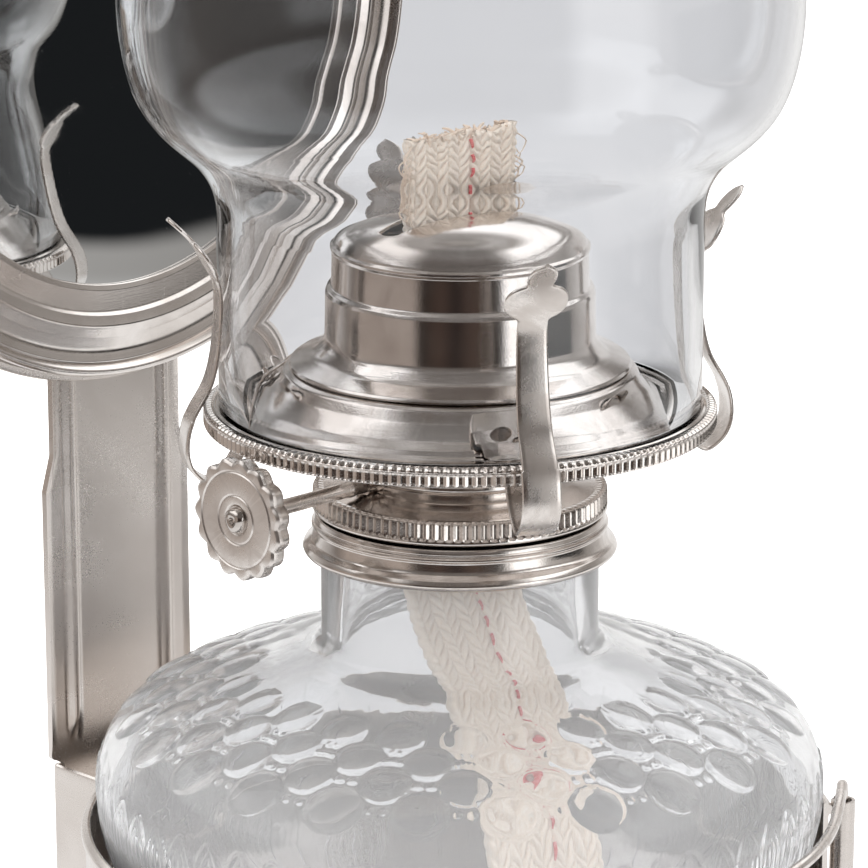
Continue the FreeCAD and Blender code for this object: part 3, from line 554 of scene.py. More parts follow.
def uneven_run(points, edges):
    """A smooth run resampled so that the rows between two heights lie closer together."""
    curve = flowing(points, 2400)
    dense = np.ones(len(curve))
    for low, high, weight in edges:
        dense[(curve[:, 1] >= low) & (curve[:, 1] <= high)] = weight
    travelled = np.concatenate([[0], np.cumsum(np.linalg.norm(np.diff(curve, axis=0), axis=1) * dense[1:])])
    count = int(travelled[-1] / 0.85)
    where = np.interp(np.linspace(0, travelled[-1], count), travelled, np.arange(len(curve)))
    return np.stack([np.interp(where, np.arange(len(curve)), curve[:, k]) for k in (0, 1)], axis=1)


def font_pattern(outer, turns, sizes):
    """Outward relief on the font's outer rows: bubbles, beads, a plain band, then pointed leaves."""
    relief = np.zeros((len(outer), turns))
    length = np.concatenate([[0], np.cumsum(np.linalg.norm(np.diff(outer, axis=0), axis=1))])
    radius, height = outer[:, 0], outer[:, 1]
    shoulder = height > 47.5
    angles = np.linspace(0, 2 * np.pi, turns, endpoint=False)

    def stud(row_radius, angle, size, tall, power):
        place = np.interp(-row_radius, -radius[shoulder], length[shoulder])
        rows = np.abs(length - place) < size
        columns = np.abs((angles - angle + np.pi) % (2 * np.pi) - np.pi) * row_radius < size * 1.3
        turn = (angles[columns] - angle + np.pi) % (2 * np.pi) - np.pi
        away = np.hypot((length[rows] - place)[:, None], turn[None, :] * radius[rows][:, None]) / size
        cap = tall * np.clip(1 - away ** 2, 0, None) ** power
        block = np.ix_(rows, columns)
        relief[block] = np.maximum(relief[block], cap)

    tall = sizes.bubble_height / MM
    for row, (row_radius, size) in enumerate(((36.2, 3.7), (41.3, 3.9), (46.2, 4.1), (51.2, 4.4))):
        for index in range(sizes.bubble_count):
            angle = 2 * np.pi * (index + 0.5 * (row % 2)) / sizes.bubble_count
            stud(row_radius, angle, size, tall, 0.5)
            if row == 0:
                continue
            for bead in range(14):
                spin = 2 * np.pi * (bead + 0.5) / 14
                ring = size + 1.15
                bead_radius = row_radius - 0.93 * ring * math.cos(spin)
                if 38.0 < bead_radius < 53.2:
                    stud(bead_radius, angle + ring * math.sin(spin) / bead_radius, 0.70, 0.32, 0.6)
    leaf = np.clip((44.2 - height) / 9.5, 0, None)[:, None]
    across = (angles * sizes.leaf_count / (2 * np.pi)) % 1 - 0.5
    across = across[None, :] * 2 * np.pi * radius[:, None] / sizes.leaf_count
    half = 2.55 * np.clip(leaf * 2.2, 0, 1) ** 0.62
    off = np.abs(across) - half
    fade = np.clip((height[:, None] - 6.0) / 8.0, 0, 1) * (leaf > 0)
    ridge = 0.34 * np.exp(-(off / 0.34) ** 2) + 0.24 * np.exp(-((off + 1.15) / 0.32) ** 2)
    vein = 0.2 * np.exp(-(across / 0.3) ** 2) * (leaf > 0.35)
    relief += (ridge + vein) * fade
    return relief


class LAMP_OT_font(bpy.types.Operator):
    """Pressed glass font with bubbles, beads and leaves"""

    bl_idname = "lamp.font"
    bl_label = "Font"

    def execute(self, context):
        sizes = context.scene.lamp_sizes
        turns = 960
        outer = uneven_run(FONT_OUTER, [(47.5, 57.8, 3.2), (26.0, 47.5, 2.4), (10.0, 26.0, 1.4)])
        relief = font_pattern(outer, turns, sizes)
        run = np.gradient(outer, axis=0)
        run /= np.linalg.norm(run, axis=1)[:, None]
        below = rounded([(0.4, 2.8), (33.4, 2.8), (34.4, 1.3), (40.0, 1.3), (40.6, 3.2)], 0.6)[:-1]
        neck = rounded([(21.9, 64.4), (21.9, 83.0), (18.6, 83.0), (18.6, 63.4)], 0.6)[1:-1]
        inner = flowing(FONT_INNER, 46)
        under = [(30.0, 6.4), (0.4, 6.4)]
        outline = np.concatenate([below, outer, neck, inner, under])
        first = len(below)

        def pressed(radius, height, angle):
            rows = slice(first, first + len(outer))
            radius[rows] += run[:, 1:] * relief
            height[rows] -= run[:, :1] * relief
            return radius, height

        glass = clear_glass("pressed_glass", 140.0, 0.00008, 90.0, 0.985, 1.33, 0.87)
        piece("font_glass", [turned(outline, turns, pressed)], glass, "font", ["font"], sharp=60)
        return {"FINISHED"}


CHIMNEY_OUTER = [(37.6, 132.0), (38.0, 135.2), (39.1, 138.0), (41.4, 141.0), (45.3, 144.4), (48.6, 148.2),
                 (50.7, 153.0), (52.0, 159.5), (52.3, 166.0), (51.2, 176.0), (47.6, 189.0), (42.2, 205.0),
                 (37.0, 222.0), (33.0, 242.0), (30.4, 266.0), (29.2, 292.0), (29.4, 318.0)]


class LAMP_OT_chimney(bpy.types.Operator):
    """Blown glass chimney with a fire-polished rim"""

    bl_idname = "lamp.chimney"
    bl_label = "Chimney"

    def execute(self, context):
        outer = np.concatenate([[(37.6, 102.2), (37.6, 110.0), (37.6, 118.0), (37.6, 126.0)],
                                flowing(CHIMNEY_OUTER, 170)])
        run = np.gradient(outer, axis=0)
        run /= np.linalg.norm(run, axis=1)[:, None]
        wall = np.interp(outer[:, 1], [102, 128, 136, 165, 200, 318], [2.0, 1.9, 1.25, 1.2, 1.5, 2.0])[:, None]
        inner = outer - np.stack([run[:, 1], -run[:, 0]], axis=1) * wall
        inner[0, 1], inner[-1, 1] = 102.2, 318.0
        outer[0, 1], outer[-1, 1] = 102.5, 317.5
        top = [(29.0, 318.0), (27.9, 318.0)]
        foot = [(35.9, 102.2), (37.3, 102.2)]
        outline = np.concatenate([outer, top, inner[::-1], foot])

        def blown(radius, height, angle):
            soft = np.clip((height - 128) / 30, 0, 1)
            sway = 0.09 * np.sin(2 * angle + height / 31) + 0.05 * np.sin(5 * angle - height / 17)
            return radius + soft * sway, height

        glass = clear_glass("blown_glass", 26.0, 0.0002, 40.0, 0.96, 1.40)
        piece("chimney_glass", [turned(outline, 320, blown)], glass, "chimney", ["chimney"], sharp=70)
        return {"FINISHED"}


def grooves(angle, count, sharpness):
    """0 on the ridges and 1 in the grooves of an evenly knurled edge."""
    return (0.5 - 0.5 * np.cos(count * angle)) ** sharpness


def band(value, low, high, soft=0.12):
    """1 between two values, falling off softly at both ends."""
    rise = np.clip((value - low) / soft, 0, 1)
    fall = np.clip((high - value) / soft, 0, 1)
    return rise * rise * (3 - 2 * rise) * fall * fall * (3 - 2 * fall)


class LAMP_OT_collar(bpy.types.Operator):
    """Font collar with its rolled bead, and the knurled screw flange above it"""

    bl_idname = "lamp.collar"
    bl_label = "Collar and flange"

    def execute(self, context):
        sizes = context.scene.lamp_sizes
        skirt = rounded([
            (22.05, 78.0), (23.3, 77.7, 0.3), (24.5, 78.2, 0.6), (24.8, 78.9, 0.8), (24.3, 79.7, 0.7),
            (23.4, 80.4, 1.6), (23.05, 82.1, 1.0), (23.35, 82.45, 0.25), (23.3, 82.8, 0.25), (22.75, 83.05, 0.25),
            (22.95, 83.4, 0.25),
            (22.7, 84.2, 0.4), (16.1, 84.2, 0.3), (16.1, 76.0), (16.7, 76.0), (16.7, 83.4), (22.05, 83.4),
        ], 0.5, closed=True)

        def dents(radius, height, angle):
            outside = radius > 22.3
            soft = 0.035 * np.sin(3 * angle + 1.0) + 0.02 * np.sin(7 * angle + height)
            return radius + outside * soft, height

        piece("collar_skirt", [turned(skirt, 288, dents)], nickel("burner"), "font", ["font_collar"])

        thread = [(16.0 - 0.35 * abs(math.cos(math.pi * z / 1.8)), 77.0 + z) for z in np.linspace(0.3, 7.2, 56)]
        flange = rounded([
            (16.0, 84.65), (22.6, 84.65, 0.3), (23.2, 85.05, 0.35), (23.15, 85.6, 0.4), (23.1, 88.0),
            (22.95, 88.5, 0.3), (22.3, 88.6, 0.3), (21.4, 88.45, 0.6), (18.0, 88.95, 0.8), (15.6, 89.2),
            (15.2, 89.0), (15.2, 77.0), (15.6, 77.0),
        ], 0.4)
        outline = np.concatenate([thread, flange])

        def knurled(radius, height, angle):
            cut = band(height, 85.45, 89.6, 0.5) * np.clip((radius - 22.0) / 0.7, 0, 1)
            cut = cut * grooves(angle, sizes.flange_knurls, 0.6)
            return radius - 0.42 * cut, height - 0.16 * cut * (height > 88.2)

        rows = densified(outline[:-1], 0.32, lambda p: p[0] > 21.8 and p[1] > 85.2)
        flange_mesh = turned(rows, sizes.flange_knurls * 9, knurled)
        piece("screw_flange", [flange_mesh], nickel("burner"), "burner", ["burner_base"])

        neck = thickened(rounded([
            (15.1, 88.8), (15.1, 90.9, 0.3), (15.75, 91.3, 0.35), (15.75, 92.0, 0.35), (15.1, 92.4, 0.3),
            (15.1, 94.6), (15.9, 96.4, 1.5), (18.5, 97.7),
        ], 0.5), 0.6)
        piece("burner_neck", [turned(neck, 192)], nickel("burner"), "burner", ["burner_body"])
        return {"FINISHED"}


def densified(outline, step, wanted):
    """Adds points to an outline's runs where `wanted` says that detail will be cut."""
    points = []
    for here, after in zip(outline, np.roll(outline, -1, axis=0)):
        points.append(here)
        length = np.linalg.norm(after - here)
        if length > step and wanted(here) and wanted(after):
            extra = int(length / step)
            points += [here + (after - here) * (k + 1) / (extra + 1) for k in range(extra)]
    return np.array(points)


class LAMP_OT_gallery(bpy.types.Operator):
    """Gallery dish with its knurled rim, the seat ring with its tabs, and the air plate"""

    bl_idname = "lamp.gallery"
    bl_label = "Gallery"

    def execute(self, context):
        sizes = context.scene.lamp_sizes
        dish = rounded([
            (16.2, 98.1), (27.0, 100.2, 2.0), (28.4, 101.2, 1.0), (31.2, 101.4, 0.6), (32.0, 101.05, 0.6),
            (33.0, 101.5, 0.5), (34.0, 101.1, 0.5), (34.9, 101.75, 0.5), (37.9, 101.85, 0.3), (38.35, 101.5, 0.3),
            (38.75, 101.9, 0.3), (39.5, 101.8, 0.3), (40.0, 101.45, 0.25), (40.0, 101.1), (39.86, 100.98, 0.1),
            (40.0, 100.86), (40.0, 99.1, 0.3), (39.65, 98.8, 0.2), (39.3, 98.9, 0.2), (39.25, 100.9, 0.5),
            (38.6, 101.2, 0.4), (34.6, 101.2, 0.5), (33.8, 100.85, 0.5), (31.0, 100.95, 0.5), (28.6, 100.75, 1.0),
            (27.2, 99.7, 2.0), (16.2, 97.6),
        ], 0.4, steps=4, closed=True)
        dish = densified(dish, 0.3, lambda p: p[0] > 38.3 and p[1] > 98.9)

        def knurled(radius, height, angle):
            side = np.clip((radius - 39.45) / 0.35, 0, 1)
            lower = band(height, 98.95, 100.95, 0.22) * side * grooves(angle, sizes.rim_knurls, 0.55)
            upper = band(height, 101.02, 102.3, 0.2) * np.clip((radius - 38.5) / 0.5, 0, 1)
            upper = upper * grooves(angle, sizes.rim_knurls, 0.7)
            return radius - 0.3 * lower - 0.2 * upper * side, height - 0.16 * upper * (height > 101.2)

        rim = turned(dish, sizes.rim_knurls * (8), knurled)
        piece("gallery_dish", [rim], nickel("crisp"), "burner", ["gallery"])

        seat = thickened(rounded([
            (32.2, 101.95), (31.6, 102.3, 0.4), (31.0, 103.0, 0.8), (29.7, 103.8, 2.2), (28.0, 105.8, 2.2),
            (27.3, 107.2, 0.7), (26.5, 107.6, 0.5), (25.0, 107.55),
        ], 0.8), 0.55)

        def buckled(radius, height, angle):
            soft = 0.05 * np.sin(6 * angle) + 0.04 * np.sin(11 * angle + 1.3)
            return radius + soft * band(height, 102.2, 107.2, 1.5), height

        shells = [turned(seat, 320, buckled)]
        for azimuth in LUG_AZIMUTHS:
            shells += [placed(shell, azimuth) for shell in stamped_lug()]
        for azimuth in EYELET_AZIMUTHS:
            shells += [placed(shell, azimuth) for shell in eyelet()]
        piece("seat_and_tabs", shells, nickel("crisp"), "burner", ["seat_ring"])
        dress("air_plate", brass())
        return {"FINISHED"}


def stamped_lug():
    """A tab stamped out of the dish: a rounded button with a small hole beside it, at the front."""
    path = rounded([(33.6, 101.9), (32.8, 102.4), (31.6, 104.0), (30.0, 105.3), (28.7, 106.2), (27.6, 107.0)],
                   0.8, steps=4)
    half_widths = np.interp(np.linspace(0, 1, len(path)), [0, 0.25, 0.55, 0.9, 1], [2.6, 3.2, 4.4, 4.9, 4.2])
    plate = strip(path, half_widths, 0.5, crown=0.25, across=13)
    centre = np.array([-0.5, -30.6, 104.9])
    button = []
    for level in np.linspace(0, math.pi / 2, 9):
        ring = []
        for turn in np.linspace(0, 2 * math.pi, 28, endpoint=False):
            r = 1.75 * math.cos(level)
            out = 1.15 * math.sin(level)
            ring.append(centre + np.array([
                r * math.cos(turn), -out * 0.75 - 0.62 * r * math.sin(turn), out * 0.75 + 0.75 * r * math.sin(turn)]))
        button.append(ring)
    points, faces = net(np.array(button))
    hole_centre = centre + np.array([2.6, -0.75, -0.95])
    lip = []
    for radius, out in ((1.25, 0.1), (1.2, 0.42), (1.0, 0.55), (0.8, 0.42), (0.72, 0.0), (0.65, -0.5)):
        ring = []
        for turn in np.linspace(0, 2 * math.pi, 24, endpoint=False):
            x, up = radius * math.cos(turn), radius * math.sin(turn)
            ring.append(hole_centre + np.array([x, -0.7 * out - 0.62 * up, 0.7 * out + 0.75 * up]))
        lip.append(ring)
    return [plate, (points, faces), net(np.array(lip))]


def eyelet():
    """A small folded eye where the deflector's foot snaps under the seat ring."""
    centre = np.array([0.0, -28.3, 106.3])
    rows = []
    for share, out in ((1.0, -0.2), (0.98, 0.35), (0.86, 0.7), (0.7, 0.55), (0.6, 0.05), (0.55, -0.7)):
        ring = []
        for turn in np.linspace(0, 2 * math.pi, 36, endpoint=False):
            wide = 2.9 * share * math.copysign(abs(math.cos(turn)) ** 0.8, math.cos(turn))
            tall = 1.5 * share * math.copysign(abs(math.sin(turn)) ** 1.15, math.sin(turn))
            ring.append(centre + np.array([wide, -0.75 * out - 0.55 * tall - 0.02 * wide * wide,
                                           0.66 * out + 0.83 * tall]))
        rows.append(ring)
    return [net(np.array(rows))]


class LAMP_OT_deflector(bpy.types.Operator):
    """Stepped deflector with its rolled foot and the wick slot"""

    bl_idname = "lamp.deflector"
    bl_label = "Deflector"

    def execute(self, context):
        steps = 384
        crown = flowing([(19.75, 126.7), (18.4, 129.1), (15.4, 131.4), (11.8, 132.9), (7.6, 133.8), (0.0, 134.2)], 60)
        crown_radius, crown_height = crown[::-1, 0], crown[::-1, 1]
        side = rounded([
            (26.3, 108.0), (26.75, 108.25, 0.25), (26.4, 108.8, 0.3), (22.9, 110.0, 2.5), (21.1, 112.2, 3.0),
            (21.0, 119.3, 0.5), (20.75, 119.9, 0.5), (20.1, 120.4, 0.5), (20.0, 125.3), (20.25, 125.8, 0.2),
            (20.25, 126.2, 0.2), (19.8, 126.5, 0.1), (19.75, 126.7),
        ], 0.4, steps=7)
        angle = np.linspace(0, 2 * np.pi, steps, endpoint=False)
        rows = [spun(np.full(steps, r), np.full(steps, z), angle) for r, z in side[:-1]]
        outer_edge = np.stack([19.75 * np.sin(angle), -19.75 * np.cos(angle)], axis=1)
        slot = slot_edge(angle, 16.4, 3.3)
        for share in np.concatenate([np.linspace(0, 0.93, 30), [0.965, 0.99]]):
            plan = outer_edge * (1 - share) + slot * share
            height = np.interp(np.hypot(plan[:, 0], plan[:, 1]), crown_radius, crown_height)
            rows.append(np.column_stack([plan, height]))
        lip_height = np.interp(np.hypot(slot[:, 0], slot[:, 1]), crown_radius, crown_height)
        for shrink, drop in ((0.0, 0.03), (0.09, 0.16), (0.1, 0.45), (0.1, 0.8)):
            inner = slot * (1 - shrink / np.hypot(slot[:, 0], slot[:, 1]))[:, None]
            rows.append(np.column_stack([inner, lip_height - drop]))
        outer = np.array(rows)
        flat = np.hypot(outer[..., 0], outer[..., 1])[..., None]
        inset = outer.copy()
        inset[..., :2] *= (1 - 0.5 / np.maximum(flat, 1.0))
        inset[..., 2] -= 0.35 * (outer[..., 2] > 126)
        inset[-4:, :, :2] = outer[-1][None, :, :2] * 1.035
        inset[-4:, :, 2] = outer[-1][None, :, 2]
        shell = net(np.concatenate([outer, inset[::-1]]), wrap_rows=True)
        piece("deflector_dome", [shell], nickel("crisp"), "deflector", ["dome"], sharp=40)
        return {"FINISHED"}


def slot_edge(angle, half_length, half_width):
    """The plan of the wick slot, a long hole with round ends, one point for each direction."""
    straight = half_length - half_width
    cut = np.unwrap(np.arctan2(np.sin(angle) * half_width, np.cos(angle) * half_length * 0.35))
    x = straight * np.clip(np.sin(cut) * 1.25, -1, 1) + half_width * np.sin(cut)
    return np.stack([x, -half_width * np.cos(cut)], axis=1)


PRONG_PATH = [(41.2, 92.3), (43.2, 94.4), (43.9, 98.6), (42.6, 103.0), (40.5, 106.6), (39.1, 111.2), (38.5, 116.0),
              (38.3, 120.0), (38.5, 122.6), (39.4, 125.0), (41.1, 128.1), (43.4, 130.9), (46.0, 133.4)]
FOOT_PATH = [(29.4, 100.68), (31.5, 100.3), (33.6, 98.8), (36.0, 95.4), (38.2, 92.6), (40.0, 91.75)]


class LAMP_OT_prongs(bpy.types.Operator):
    """Four spring prongs with three-lobed heads, each one strip from its foot under the gallery"""

    bl_idname = "lamp.prongs"
    bl_label = "Spring prongs"

    def execute(self, context):
        path = flowing(FOOT_PATH + PRONG_PATH, 420)
        width = np.array([head_half_width(height) if radius > 37.9 and index > 180 else 3.0
                          for index, (radius, height) in enumerate(path)])
        soft = np.exp(-0.5 * (np.arange(-6, 7) / 2.2) ** 2)
        width[200:-4] = np.convolve(width, soft / soft.sum(), "same")[200:-4]
        for number, azimuth in enumerate(PRONG_AZIMUTHS, start=1):
            shell = placed(strip(path, width, 0.6, crown=0.05, across=11), azimuth)
            replaced = [f"prong_{number}"] + (["prong_feet"] if number == 1 else [])
            made = piece(f"spring_prong_{number}", [shell], nickel("strip"), None, replaced, sharp=45)
            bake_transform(made)
        return {"FINISHED"}


def head_half_width(height):
    """Half the prong's width at a height: a tapering strap, then two side lobes and a top lobe."""
    strap = np.interp(height, [88, 129], [3.1, 2.2])
    lobes = [strap if height < 129.0 else 0.0]
    for middle, level, radius in ((2.2, 126.7, 2.7), (0.0, 131.0, 2.25)):
        if abs(height - level) < radius:
            lobes.append(middle + math.sqrt(radius ** 2 - (height - level) ** 2))
    return max(max(lobes), 0.12)


class LAMP_OT_winder(bpy.types.Operator):
    """Scalloped knob, its shaft and the peened end"""

    bl_idname = "lamp.winder"
    bl_label = "Wick winder"

    def execute(self, context):
        sizes = context.scene.lamp_sizes
        turns = sizes.knob_scallops * 24
        angle = np.linspace(0, 2 * np.pi, turns, endpoint=False)
        lobes = 0.5 + 0.5 * np.cos(sizes.knob_scallops * angle)
        edge = 8.75 + 0.75 * lobes ** 0.7
        front = rounded([
            (1.3, 0.32), (2.1, 0.3, 0.1), (2.5, 0.05, 0.2), (3.55, 0.0), (3.8, 0.2, 0.12), (4.05, 0.0, 0.12),
            (7.2, 0.0), (7.45, 0.22, 0.12), (7.7, 0.0, 0.12), (8.9, 0.0), (9.42, 0.3, 0.25), (9.5, 0.9),
            (9.5, 1.9), (9.42, 2.35, 0.25), (9.0, 2.6), (8.3, 2.6, 0.2), (7.7, 1.3, 0.4), (3.2, 1.2, 0.4),
            (2.6, 1.6, 0.3), (2.6, 4.2, 0.3), (1.2, 4.2),
        ], 0.15, steps=4)
        radius = front[:, :1] + 0 * angle[None, :]
        share = np.clip((radius - 7.75) / 1.1, 0, 1) ** 1.3
        radius = radius * (1 - share) + (radius + edge[None, :] - 9.5) * share
        depth = front[:, 1:2] + 0.10 * (1 - lobes)[None, :] * share
        points = np.stack([KNOB_FACE_X + depth, WINDER_Y + radius * np.cos(angle), WINDER_Z + radius * np.sin(angle)],
                          axis=-1)
        piece("knob_disc", [net(points)], nickel("knob"), "winder", ["knob"])

        shaft = along_x([(-42.7, 0.0), (-42.7, 1.15), (-40.0, 1.2), (-20.0, 1.2), (-19.6, 1.32), (-19.0, 1.32),
                         (-18.6, 1.2), (10.8, 1.2), (11.0, 1.0), (11.0, 0.0)], 40)
        piece("winder_rod", [shaft], nickel("wire"), "winder", ["winder_shaft"])
        rivet = along_x([(-42.6, 1.15), (-43.05, 1.85), (-43.35, 1.95), (-43.8, 1.8), (-44.15, 1.45), (-44.3, 1.0),
                         (-44.2, 0.62), (-43.9, 0.5), (-43.65, 0.3), (-43.6, 0.0)], 48, wobble=0.06)
        piece("peened_end", [rivet], nickel("crisp"), "winder", ["knob_rivet"])
        dress("shaft_sleeve", nickel("burner"))
        dress("spur_wheels", brass())
        return {"FINISHED"}


def along_x(outline, turns, wobble=0.0):
    """A turned piece about the winder's axis, from (x, radius) points."""
    angle = np.linspace(0, 2 * np.pi, turns, endpoint=False)
    rows = []
    for x, radius in outline:
        r = max(radius, 0.01) * (1 + wobble * np.sin(3 * angle + x))
        rows.append(np.stack([np.full(turns, x), WINDER_Y + r * np.cos(angle), WINDER_Z + r * np.sin(angle)], axis=1))
    return net(np.array(rows))


WICK_PATH = [(0.0, 144.4), (0.0, 120.0), (0.0, 96.0), (0.0, 73.0), (2.0, 67.6), (6.2, 61.0), (11.6, 51.0),
             (16.6, 38.5), (19.4, 28.0), (20.2, 21.0)]


def wick_frame(share):
    """Centre and along direction of the wick at a share of its length, front as -Y."""
    path = flowing(WICK_PATH, 400)
    at = share * (len(path) - 1)
    centre = np.array([np.interp(at, np.arange(len(path)), path[:, k]) for k in (0, 1)])
    ahead = np.array([np.interp(np.minimum(at + 2, len(path) - 1), np.arange(len(path)), path[:, k]) for k in (0, 1)])
    back = np.array([np.interp(np.maximum(at - 2, 0), np.arange(len(path)), path[:, k]) for k in (0, 1)])
    run = ahead - back
    run = run / np.linalg.norm(run, axis=0)
    return centre, run


class LAMP_OT_wick(bpy.types.Operator):
    """Flat plaited cotton wick with its marker thread and frayed end"""

    bl_idname = "lamp.wick"
    bl_label = "Wick"

    def execute(self, context):
        sizes = context.scene.lamp_sizes
        dice = random.Random(11)
        length, half_wide, half_deep = WICK_LENGTH, WICK_HALF_FLAT, WICK_HALF_THICK
        rows = int(length / (0.22))
        columns = 250
        share = np.linspace(0, 1, rows)
        around = np.linspace(0, 1, columns, endpoint=False)
        perimeter = 4 * (half_wide + half_deep)
        walk = around * perimeter
        edge_part = np.clip((walk - 2 * half_wide) / (2 * half_deep), 0, 1)
        right = (walk >= 2 * half_wide) & (walk < 2 * half_wide + 2 * half_deep)
        left = walk >= 4 * half_wide + 2 * half_deep
        edge_part = np.where(left, (walk - perimeter) / (2 * half_deep) + 1, edge_part)
        x = np.where(walk < 2 * half_wide, -half_wide + walk, half_wide - (walk - 2 * half_wide - 2 * half_deep))
        x = np.where(right, half_wide + half_deep * np.sin(np.pi * edge_part), x)
        x = np.where(left, -half_wide - half_deep * np.sin(np.pi * edge_part), x)
        depth = np.where(walk < 2 * half_wide, half_deep, -half_deep)
        depth = np.where(right, half_deep * np.cos(np.pi * edge_part), depth)
        depth = np.where(left, -half_deep * np.cos(np.pi * edge_part), depth)
        relief = plait(walk[None, :], (share * length)[:, None], sizes.strand_pitch / MM)
        centre, run = wick_frame(share)
        outward = np.stack([run[1], -run[0]]) * -1.0
        swell = 1 + 0.10 * relief / 0.5
        rise = depth[None, :] * swell + np.sign(depth)[None, :] * (relief - 0.25)
        side_grow = np.where(np.abs(x) > half_wide, np.sign(x) * 0.25, 0)[None, :] * relief
        radius = centre[0][:, None] + outward[0][:, None] * rise
        height = centre[1][:, None] + outward[1][:, None] * rise
        ragged = 0.8 * np.sin(x * 0.55 + 1.2) + 0.7 * np.sin(x * 1.9) + 0.6 * np.sin(x * 4.3 + 1)
        near_top = np.clip(1 - share * length / 5.0, 0, 1)[:, None]
        height = height + near_top * (ragged[None, :] * 0.45 - 0.6)
        droop = np.sin(x / 12.5 * 2.1) * 0.25
        radius = radius + near_top * droop[None, :]
        points = np.stack([x[None, :] + side_grow, -radius, height], axis=-1)
        points, faces = net(points, flip=True)
        faces.append(list(range(columns)))
        faces.append([len(points) - columns + i for i in range(columns)][::-1])
        cloth = piece("wick_cloth", [(points, faces)], cotton(), "wick", ["wick"], sharp=180)
        marker = self.marker(dice)
        fringe = self.fringe(dice, sizes.fringe_threads)
        return {"FINISHED"}

    def marker(self, dice):
        """Red dashes of thread along the middle of both faces."""
        lines = []
        place = 2.2
        while place < 126:
            for face, shift in ((1, 1.1), (-1, -0.8)):
                points = []
                for step in np.linspace(-0.85, 0.85, 6):
                    centre, run = wick_frame(np.array([(place + step) / WICK_LENGTH]))
                    lift = face * (1.28 + 0.28 * math.cos(step * 1.6))
                    out = (-run[1][0], run[0][0])
                    points.append((shift + 0.35 * math.sin(place * 2.7 + step), -(centre[0][0] + out[0] * lift),
                                   centre[1][0] + out[1] * lift))
                lines.append((points, 0.30))
            place += 2.9 + dice.uniform(-0.2, 0.2)
        return yarns("wick_marker", lines, red_thread())

    def fringe(self, dice, count):
        """Loose yarn ends and loops at the cut edge, and a few down the left selvedge."""
        lines = []
        for index in range(count):
            x = dice.uniform(-11.2, 11.2)
            lean = dice.uniform(-1.6, 1.6)
            tall = dice.uniform(0.5, 2.1)
            y = dice.uniform(-0.95, 0.95)
            points = []
            for step in range(7):
                t = step / 6
                points.append((x + lean * t * t + 0.25 * math.sin(5 * t + index), y + dice.uniform(-0.12, 0.12)
                               - 0.8 * t * t * (1 if index % 2 else -1), 142.7 + (tall + 1.0) * t - 0.9 * t ** 3))
            lines.append((points, dice.uniform(0.2, 0.42)))
        for index in range(16):
            side = -1 if index < 11 else 1
            start = 143.5 - dice.uniform(0, 9)
            reach = dice.uniform(1.0, 3.0)
            points = []
            for step in range(8):
                t = step / 7
                points.append((side * (11.2 + reach * math.sin(math.pi * t)), dice.uniform(-0.2, 0.2) - 0.6,
                               start - dice.uniform(0.0, 0.2) - (2 + reach) * t))
            lines.append((points, dice.uniform(0.12, 0.22)))
        hanging = [(-11.4, -0.8, 143.2), (-13.9, -1.6, 141.0), (-13.4, -1.9, 138.5), (-12.9, -1.9, 135.5),
                   (-11.9, -1.8, 131.5)]
        lines.append((hanging, 0.2))
        return yarns("wick_fringe", lines, cotton())


def plait(across, along, pitch):
    """Height of the wick's strands: narrow columns of slanting stitches that lean left and right in turn."""
    wide = 2.35
    column = np.floor(across / wide)
    local = (across / wide - column) * 2 - 1
    lean = np.where(column % 2 == 0, 1.0, -1.0)
    wander = 0.12 * np.sin(along * 0.9 + column * 1.7) + 0.08 * np.sin(along * 2.3 + column)
    phase = (along / pitch + lean * local * 0.62 + 0.5 * (column % 2) + wander) % 1
    bulge = np.clip(1 - np.abs(2 * phase - 1) ** 2.2, 0, 1) ** 0.75
    arch = np.clip(1 - np.abs(local) ** 3.0, 0, 1) ** 0.5
    return 0.52 * bulge * arch


def yarns(name, lines, finish):
    """Many short threads as one piece on the wick: (points, radius) each."""
    shells = []
    for points, radius in lines:
        path = flowing(points, 12)
        run = np.gradient(path, axis=0)
        run /= np.linalg.norm(run, axis=1)[:, None]
        rows = []
        for index, (place, ahead) in enumerate(zip(path, run)):
            side = np.cross(ahead, (0.3, 1.0, 0.1))
            side /= np.linalg.norm(side)
            up = np.cross(side, ahead)
            r = radius * (1 - 0.55 * (index / 11) ** 3)
            rows.append([place + r * (math.cos(a) * side + math.sin(a) * up)
                         for a in np.linspace(0, 2 * math.pi, 8, endpoint=False)])
        shells.append(capped(np.array(rows)))
    return piece(name, shells, finish, "wick", sharp=180)


